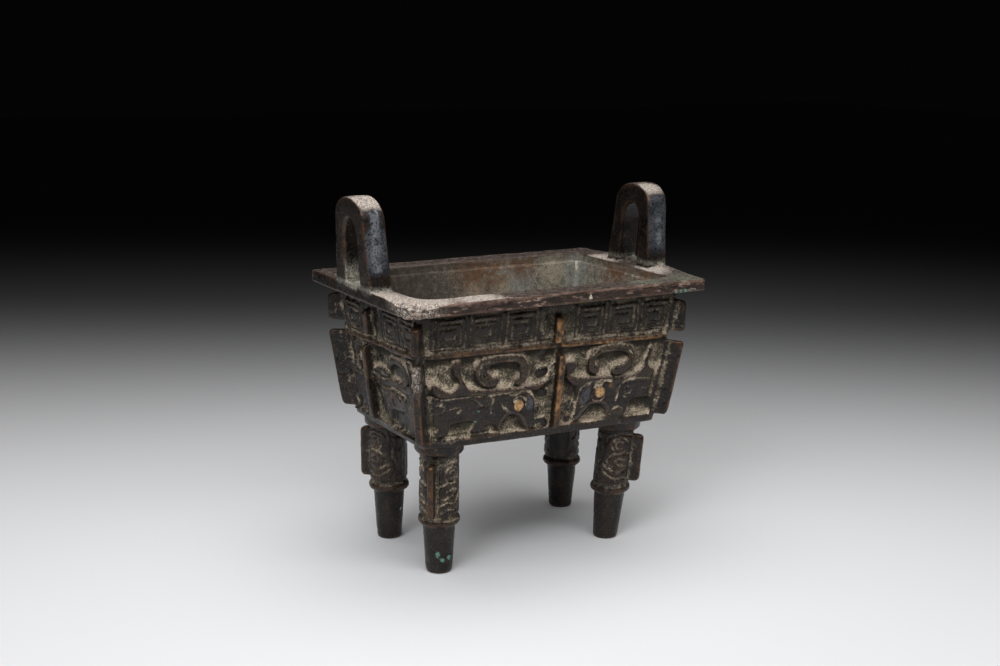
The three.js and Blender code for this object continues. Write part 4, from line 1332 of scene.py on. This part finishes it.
class Bronze(Shader):
    """The vessel's finish, coat upon coat."""

    def __init__(self, shift):
        super().__init__("square_ding_bronze")
        self.shift = shift
        for name in MASKS:
            setattr(self, name, self.attribute(name))
        self.cloud = self.noise(14, 4, 0.6)
        self.patch = self.noise(5, 4, 0.6, 0.3)
        self.blotch = self.noise(2.4, 3, 0.6, 1.7)
        self.grain = self.noise(1.0, 3, 0.65, 0.6)
        self.speck = self.noise(0.5, 2, 0.7, 0.9)

    def coat(self, factor, colour):
        self.colour = self.mix(factor, self.colour, colour)

    def clouds(self, places, wander=5.0):
        """1 within wandering clouds about a few places, and 0 well outside them."""
        return self.within(places, self.patch.swing(wander * 2 * MM), 1.6, 0.3)

    def spots(self, places):
        """1 within small ragged spots."""
        return self.within(places, self.blotch.swing(RAGGED * MM), 1.15, 0.85)

    def within(self, places, drift, outer, inner):
        """0 beyond outer times the radius of every place, and 1 inside inner times that of one."""
        made = []
        for centre, radius in places:
            moved = [(c - m) * MM for c, m in zip(centre, self.shift)]
            made.append((self.away(moved) + drift).step(radius * outer * MM, radius * inner * MM))
        return self.highest(*made)

    def patina(self):
        """Dark patina, near black to warm brown, with a thin dusty film, grey where the carving is polished,
        and a grey painted reflection on the handles' near faces.
        """
        self.colour = self.mix(self.cloud.step(0.35, 0.68), (0.0085, 0.0072, 0.0066), (0.021, 0.0155, 0.0125))
        self.coat(self.patch.step(0.5, 0.72) * 0.6, (0.040, 0.026, 0.020))
        self.coat(self.tone * self.grain.step(0.3, 0.6, 0.8), (0.052, 0.034, 0.023))
        self.coat(self.grain.step(0.52, 0.72) * self.blotch.step(0.38, 0.62, 0.5), (0.125, 0.102, 0.078))
        self.coat(self.noise(0.7, 1, 0.5, 6.1).step(0.70, 0.78) * 0.7, (0.26, 0.21, 0.165))
        self.polish = (self.grey * self.grain.step(0.30, 0.55, 0.8)).clamped()
        # Where grey passes 1, on the handles, a pale grey strip of painted reflection goes over the polish.
        self.strip = self.grey.above(1.0) * (self.grain * 0.5 + self.patch).step(0.52, 0.82, 0.9)
        self.coat(self.polish, self.mix(self.strip, (0.085, 0.096, 0.118), (0.235, 0.24, 0.255)))

    def rim_faces(self):
        """The rim's outer faces are redder, with drawn-out streaks and a pale line along their top edge, worn
        metal with a painted highlight.
        """
        streak = self.noise(2.2, 4, 0.62, 3.1, (0.16, 0.16, 1.0))
        on_rim = self.math("MINIMUM", self.rimside, 1.0)
        self.coat(on_rim * streak.step(0.50, 0.66) * 0.8, (0.105, 0.046, 0.032))
        self.coat(on_rim * 0.5, (0.075, 0.050, 0.040))
        light = self.noise(1.6, 4, 0.7, 5.2, (0.3, 0.3, 1.0))
        self.coat(on_rim * light.step(0.52, 0.70) * 0.85, (0.48, 0.32, 0.26))
        dark = self.noise(2.0, 4, 0.7, 8.3, (0.2, 0.2, 1.0))
        self.coat(on_rim * dark.step(0.50, 0.40) * 0.7, (0.014, 0.010, 0.009))
        # Along the top edge: a pale line of wear and painted highlight.
        self.coat(self.rimside.above(1.0) * streak.step(0.34, 0.56) * 0.85, (0.46, 0.31, 0.25))

    def rubbed(self):
        """Metal rubbed bright on the edges."""
        self.worn = self.edge * self.patch.step(0.34, 0.54) * self.grain.step(0.25, 0.55, 0.75)
        self.coat(self.worn, (0.150, 0.078, 0.044))
        bright = self.rub * self.noise(4.0, 4, 0.6, 1.2).step(0.38, 0.60)
        self.bright = self.highest(bright, self.rub - 1.0).clamped()
        self.coat(self.bright, self.mix(self.blotch.step(0.35, 0.65), (0.13, 0.065, 0.034),
                                        (0.40, 0.22, 0.10)))

    def earth(self):
        """Dirt in the recesses with painted light on it, pale where the ground leans up and dark where it
        leans away; a painted highlight along the tops of raised edges, and painted shade under them.
        """
        packed = self.dirt + self.hollow * 0.30 + self.patch.swing(0.9) + self.grain.swing(0.9)
        self.packed = packed.step(0.22, 0.72)
        # Painted light: the dirt is lighter where the ground leans up, by lit.
        light = self.lit + self.patch.swing(1.6) + self.grain.swing(1.3) + self.speck.swing(1.6)
        earth = self.mix(light.step(0.16, 0.70), (0.028, 0.023, 0.015), (0.200, 0.166, 0.115))
        earth = self.mix(light.step(0.56, 1.24), earth, (0.80, 0.66, 0.495))
        earth = self.mix(self.speck.step(0.50, 0.36, 0.75), earth, (0.035, 0.028, 0.020))
        earth = self.mix(self.cloud.step(0.54, 0.70, 0.4), earth, (0.15, 0.145, 0.085))
        self.coat(self.packed * 0.93, earth)
        # Painted highlight along the tops of raised edges.
        self.coat(self.ledge * (self.grain + self.patch * 0.5).step(0.62, 0.86, 0.8), (0.42, 0.335, 0.26))
        # Painted shade under raised edges, under the rim, on the left wall and on the legs.
        self.coat(self.shade * 0.9, (0.0055, 0.0045, 0.0038))

    def eyes(self):
        self.gold = self.rub.above(1.0)
        self.coat(self.gold, self.mix(self.grain.step(0.35, 0.6), (0.25, 0.145, 0.065), (0.60, 0.36, 0.165)))

    def upper_faces(self):
        """Brown grey metal, with dust near the worn corner and the handles' feet."""
        plain = self.mix(self.blotch.step(0.38, 0.62), (0.060, 0.045, 0.038), (0.150, 0.115, 0.098))
        self.coat(self.dusty * 0.85, plain)
        amount = self.clouds(DUST, 9.0) + self.patch.swing(1.6) + self.grain.swing(1.6)
        self.dust = self.dusty * amount.step(0.15, 0.95)
        pale = self.mix(self.speck.step(0.42, 0.60), (0.17, 0.13, 0.105), (0.82, 0.72, 0.63))
        self.coat(self.dust * 0.85, pale)
        self.crumbs = self.rubble * self.speck.step(0.40, 0.60, 0.75)
        self.coat(self.crumbs, self.mix(self.grain.step(0.35, 0.65), (0.16, 0.12, 0.095), (0.80, 0.72, 0.63)))

    def greenish(self):
        """A pale greenish bloom at the handles' feet, and a film of it on the rim's right end."""
        pale = self.mix(self.blotch.step(0.4, 0.6), (0.30, 0.27, 0.215), (0.56, 0.54, 0.46))
        self.coat(self.bloom * self.grain.step(0.30, 0.55), pale)
        film = self.clouds(RIM_FILM, 7.0) * self.dusty * self.grain.step(0.35, 0.6, 0.6)
        self.coat(film, (0.235, 0.25, 0.185))

    def lining(self):
        """The inside: painted light from dark on the left to lighter on the right, rust and beige in the
        middle, grey green and blue to the right.
        """
        grain, blotch, mix = self.grain, self.blotch, self.mix
        apart = self.node("SeparateXYZ", self.place)
        # Painted light: the lining and its pale blotches and specks grow lighter from left to right.
        along = Value(self, apart.outputs["X"]) + self.patch.swing(0.06)
        lining = mix(along.step(-0.030, 0.045), (0.072, 0.058, 0.046), (0.122, 0.105, 0.082))
        pale = mix(along.step(-0.03, 0.04), (0.19, 0.155, 0.12), (0.50, 0.46, 0.36))
        lining = mix(blotch.step(0.38, 0.74, 0.6), lining, pale)
        lining = mix(self.clouds(BEIGE, 4.0) * grain.step(0.3, 0.6, 0.8), lining, (0.46, 0.385, 0.265))
        lining = mix(self.clouds(BLUE, 5.0) * grain.step(0.3, 0.6, 0.7), lining, (0.24, 0.27, 0.27))
        lining = mix(self.speck.step(0.52, 0.66) * along.step(-0.045, 0.03, 0.8), lining, (0.50, 0.455, 0.36))
        lining = mix(self.noise(0.8, 2, 0.6, 7.7).step(0.60, 0.72, 0.8), lining, (0.018, 0.015, 0.013))
        stain = self.clouds(RUST, 8.0) * (grain + self.patch * 0.8).step(0.72, 1.0, 0.9)
        lining = mix(stain, lining, mix(grain.step(0.4, 0.6), (0.055, 0.026, 0.012), (0.21, 0.085, 0.032)))
        self.coat(self.inside, lining)

    def specks(self):
        self.green, self.pale = self.spots(GREEN), self.spots(PALE)
        self.coat(self.green * 0.85, self.mix(self.grain, (0.05, 0.16, 0.11), (0.24, 0.46, 0.36)))
        self.coat(self.pale, (0.62, 0.56, 0.44))

    def gloss(self):
        """Dirt, dust, specks and the inside are dull; the rest is a worn sheen over metal."""
        dull = self.highest(self.packed, self.crumbs, self.green, self.pale, self.inside * 0.75,
                            self.dust * 0.7)
        sheen = self.blend(self.grain.step(0.35, 0.7), 0.24, 0.48)
        sheen = self.blend(self.highest(self.bright, self.worn), sheen, 0.34)
        metal = self.blend(self.highest(self.bright, self.worn, self.polish), 0.1, 0.85)
        metal = self.blend(self.highest(self.gold, self.strip), metal, 0.2)
        self.put(self.surface.inputs["Roughness"], self.blend(dull, sheen, 0.9))
        self.put(self.surface.inputs["Metallic"], metal * (1.0 - dull))
        self.surface.inputs["Specular IOR Level"].default_value = 0.3

    def texture(self):
        """Fine bumps of grain, strongest in dirt, over broader ones."""
        strength = self.blend(self.highest(self.packed, self.inside * 0.8), 0.30, 1.0)
        strength = self.blend(self.crumbs, strength, 1.0)
        fine = self.bump(self.grain * 0.7 + self.speck * 0.5, strength, 0.34)
        self.put(self.surface.inputs["Normal"], self.bump(self.patch, 0.25, 0.35, Normal=fine))


def bronze(shift):
    s = Bronze(shift)
    for coat in (s.patina, s.rim_faces, s.rubbed, s.earth, s.eyes, s.upper_faces, s.greenish, s.lining,
                 s.specks):
        coat()
    s.put(s.surface.inputs["Base Color"], s.colour)
    s.gloss()
    s.texture()
    return s.material


CAMERA_PLACE = (-316.777, -536.950, 236.091)
CAMERA_AIM = (-3.26, 0.0, 98.36)
CAMERA_ROLL = 0.82
CAMERA_LENS = 50.0
SENSOR = 36.0


def make_camera(shift):
    data = bpy.data.cameras.new("camera")
    data.sensor_width = SENSOR
    data.lens = CAMERA_LENS
    data.clip_start, data.clip_end = 0.01, 50
    camera = bpy.data.objects.new("camera", data)
    bpy.context.scene.collection.objects.link(camera)
    moved = Vector((shift[0], shift[1], 0.0))
    place = (Vector(CAMERA_PLACE) - moved) * MM
    aim = (Vector(CAMERA_AIM) - moved) * MM
    back = (place - aim).normalized()
    right = Vector((0, 0, 1)).cross(back).normalized()
    up = back.cross(right)
    roll = math.radians(CAMERA_ROLL)
    turned_right = math.cos(roll) * right + math.sin(roll) * up
    turned_up = math.cos(roll) * up - math.sin(roll) * right
    rotation = Matrix((turned_right, turned_up, back)).transposed().to_4x4()
    camera.matrix_world = Matrix.Translation(place) @ rotation
    bpy.context.scene.camera = camera


def softbox(name, place, aim, size, power, colour=(1, 1, 1), spread=180.0):
    data = bpy.data.lights.new(name, "AREA")
    data.shape = "RECTANGLE"
    data.size, data.size_y = size
    data.energy = power
    data.color = colour
    data.spread = math.radians(spread)
    light = bpy.data.objects.new(name, data)
    bpy.context.scene.collection.objects.link(light)
    light.location = place
    light.rotation_euler = (Vector(aim) - Vector(place)).to_track_quat("-Z", "Y").to_euler()
    return light


# Soft boxes over the vessel: how far in front of it, how high, size, tilt from upright, spread and power.
BOXES = {
    "key": dict(ahead=0.42, high=0.60, size=(1.3, 0.40), tilt=5.1, spread=120, power=3.5),
    "overhead": dict(ahead=-0.06, high=0.62, size=(1.1, 0.35), tilt=-8.4, spread=80.2, power=1.0),
}
FRONT_LEFT = dict(place=(-0.42, -0.30, 0.46), aim=(-0.03, 0, 0.09), size=(0.25, 0.25), power=0.06,
                  colour=(0.95, 0.97, 1.0), spread=40)
TOWARDS_CAMERA = (-0.504, -0.864)
FLOOR_SIDE = 6.0
FLOOR_GREYS = (0.71, 0.712, 0.722), (0.73, 0.732, 0.742)
WORLD_GREY = (0.0013, 0.0013, 0.0014, 1)


def make_stage():
    side = FLOOR_SIDE / 2
    corners = [(-side, -side, 0), (side, -side, 0), (side, side, 0), (-side, side, 0)]
    mesh = bpy.data.meshes.new("floor")
    mesh.from_pydata(corners, [], [(0, 1, 2, 3)])
    floor = bpy.data.objects.new("floor", mesh)
    bpy.context.scene.collection.objects.link(floor)
    s = Shader("floor")
    s.put(s.surface.inputs["Base Color"], s.mix(s.noise(400, 2), *FLOOR_GREYS))
    s.surface.inputs["Roughness"].default_value = 0.8
    s.surface.inputs["Specular IOR Level"].default_value = 0.2
    mesh.materials.append(s.material)

    # Wide soft boxes hang over the near floor, so that the far floor falls dark.
    near = Vector((*TOWARDS_CAMERA, 0))
    for name, box in BOXES.items():
        place = near * box["ahead"] + Vector((0, 0, box["high"]))
        lean = math.radians(box["tilt"])
        down = Vector((0, 0, -math.cos(lean))) - near * math.sin(lean)
        softbox(name, place, place + down, box["size"], box["power"], spread=box["spread"])
    softbox("front_left", **FRONT_LEFT)
    world = bpy.data.worlds.new("world")
    world.use_nodes = True
    world.node_tree.nodes["Background"].inputs["Color"].default_value = WORLD_GREY
    bpy.context.scene.world = world
    bpy.context.scene.view_settings.view_transform = "Standard"


vessel, middle = make_vessel()
vessel.data.materials.append(bronze((middle[0], middle[1], 0.0)))
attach(vessel, "root")
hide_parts("square_ding")
make_camera(middle)
make_stage()
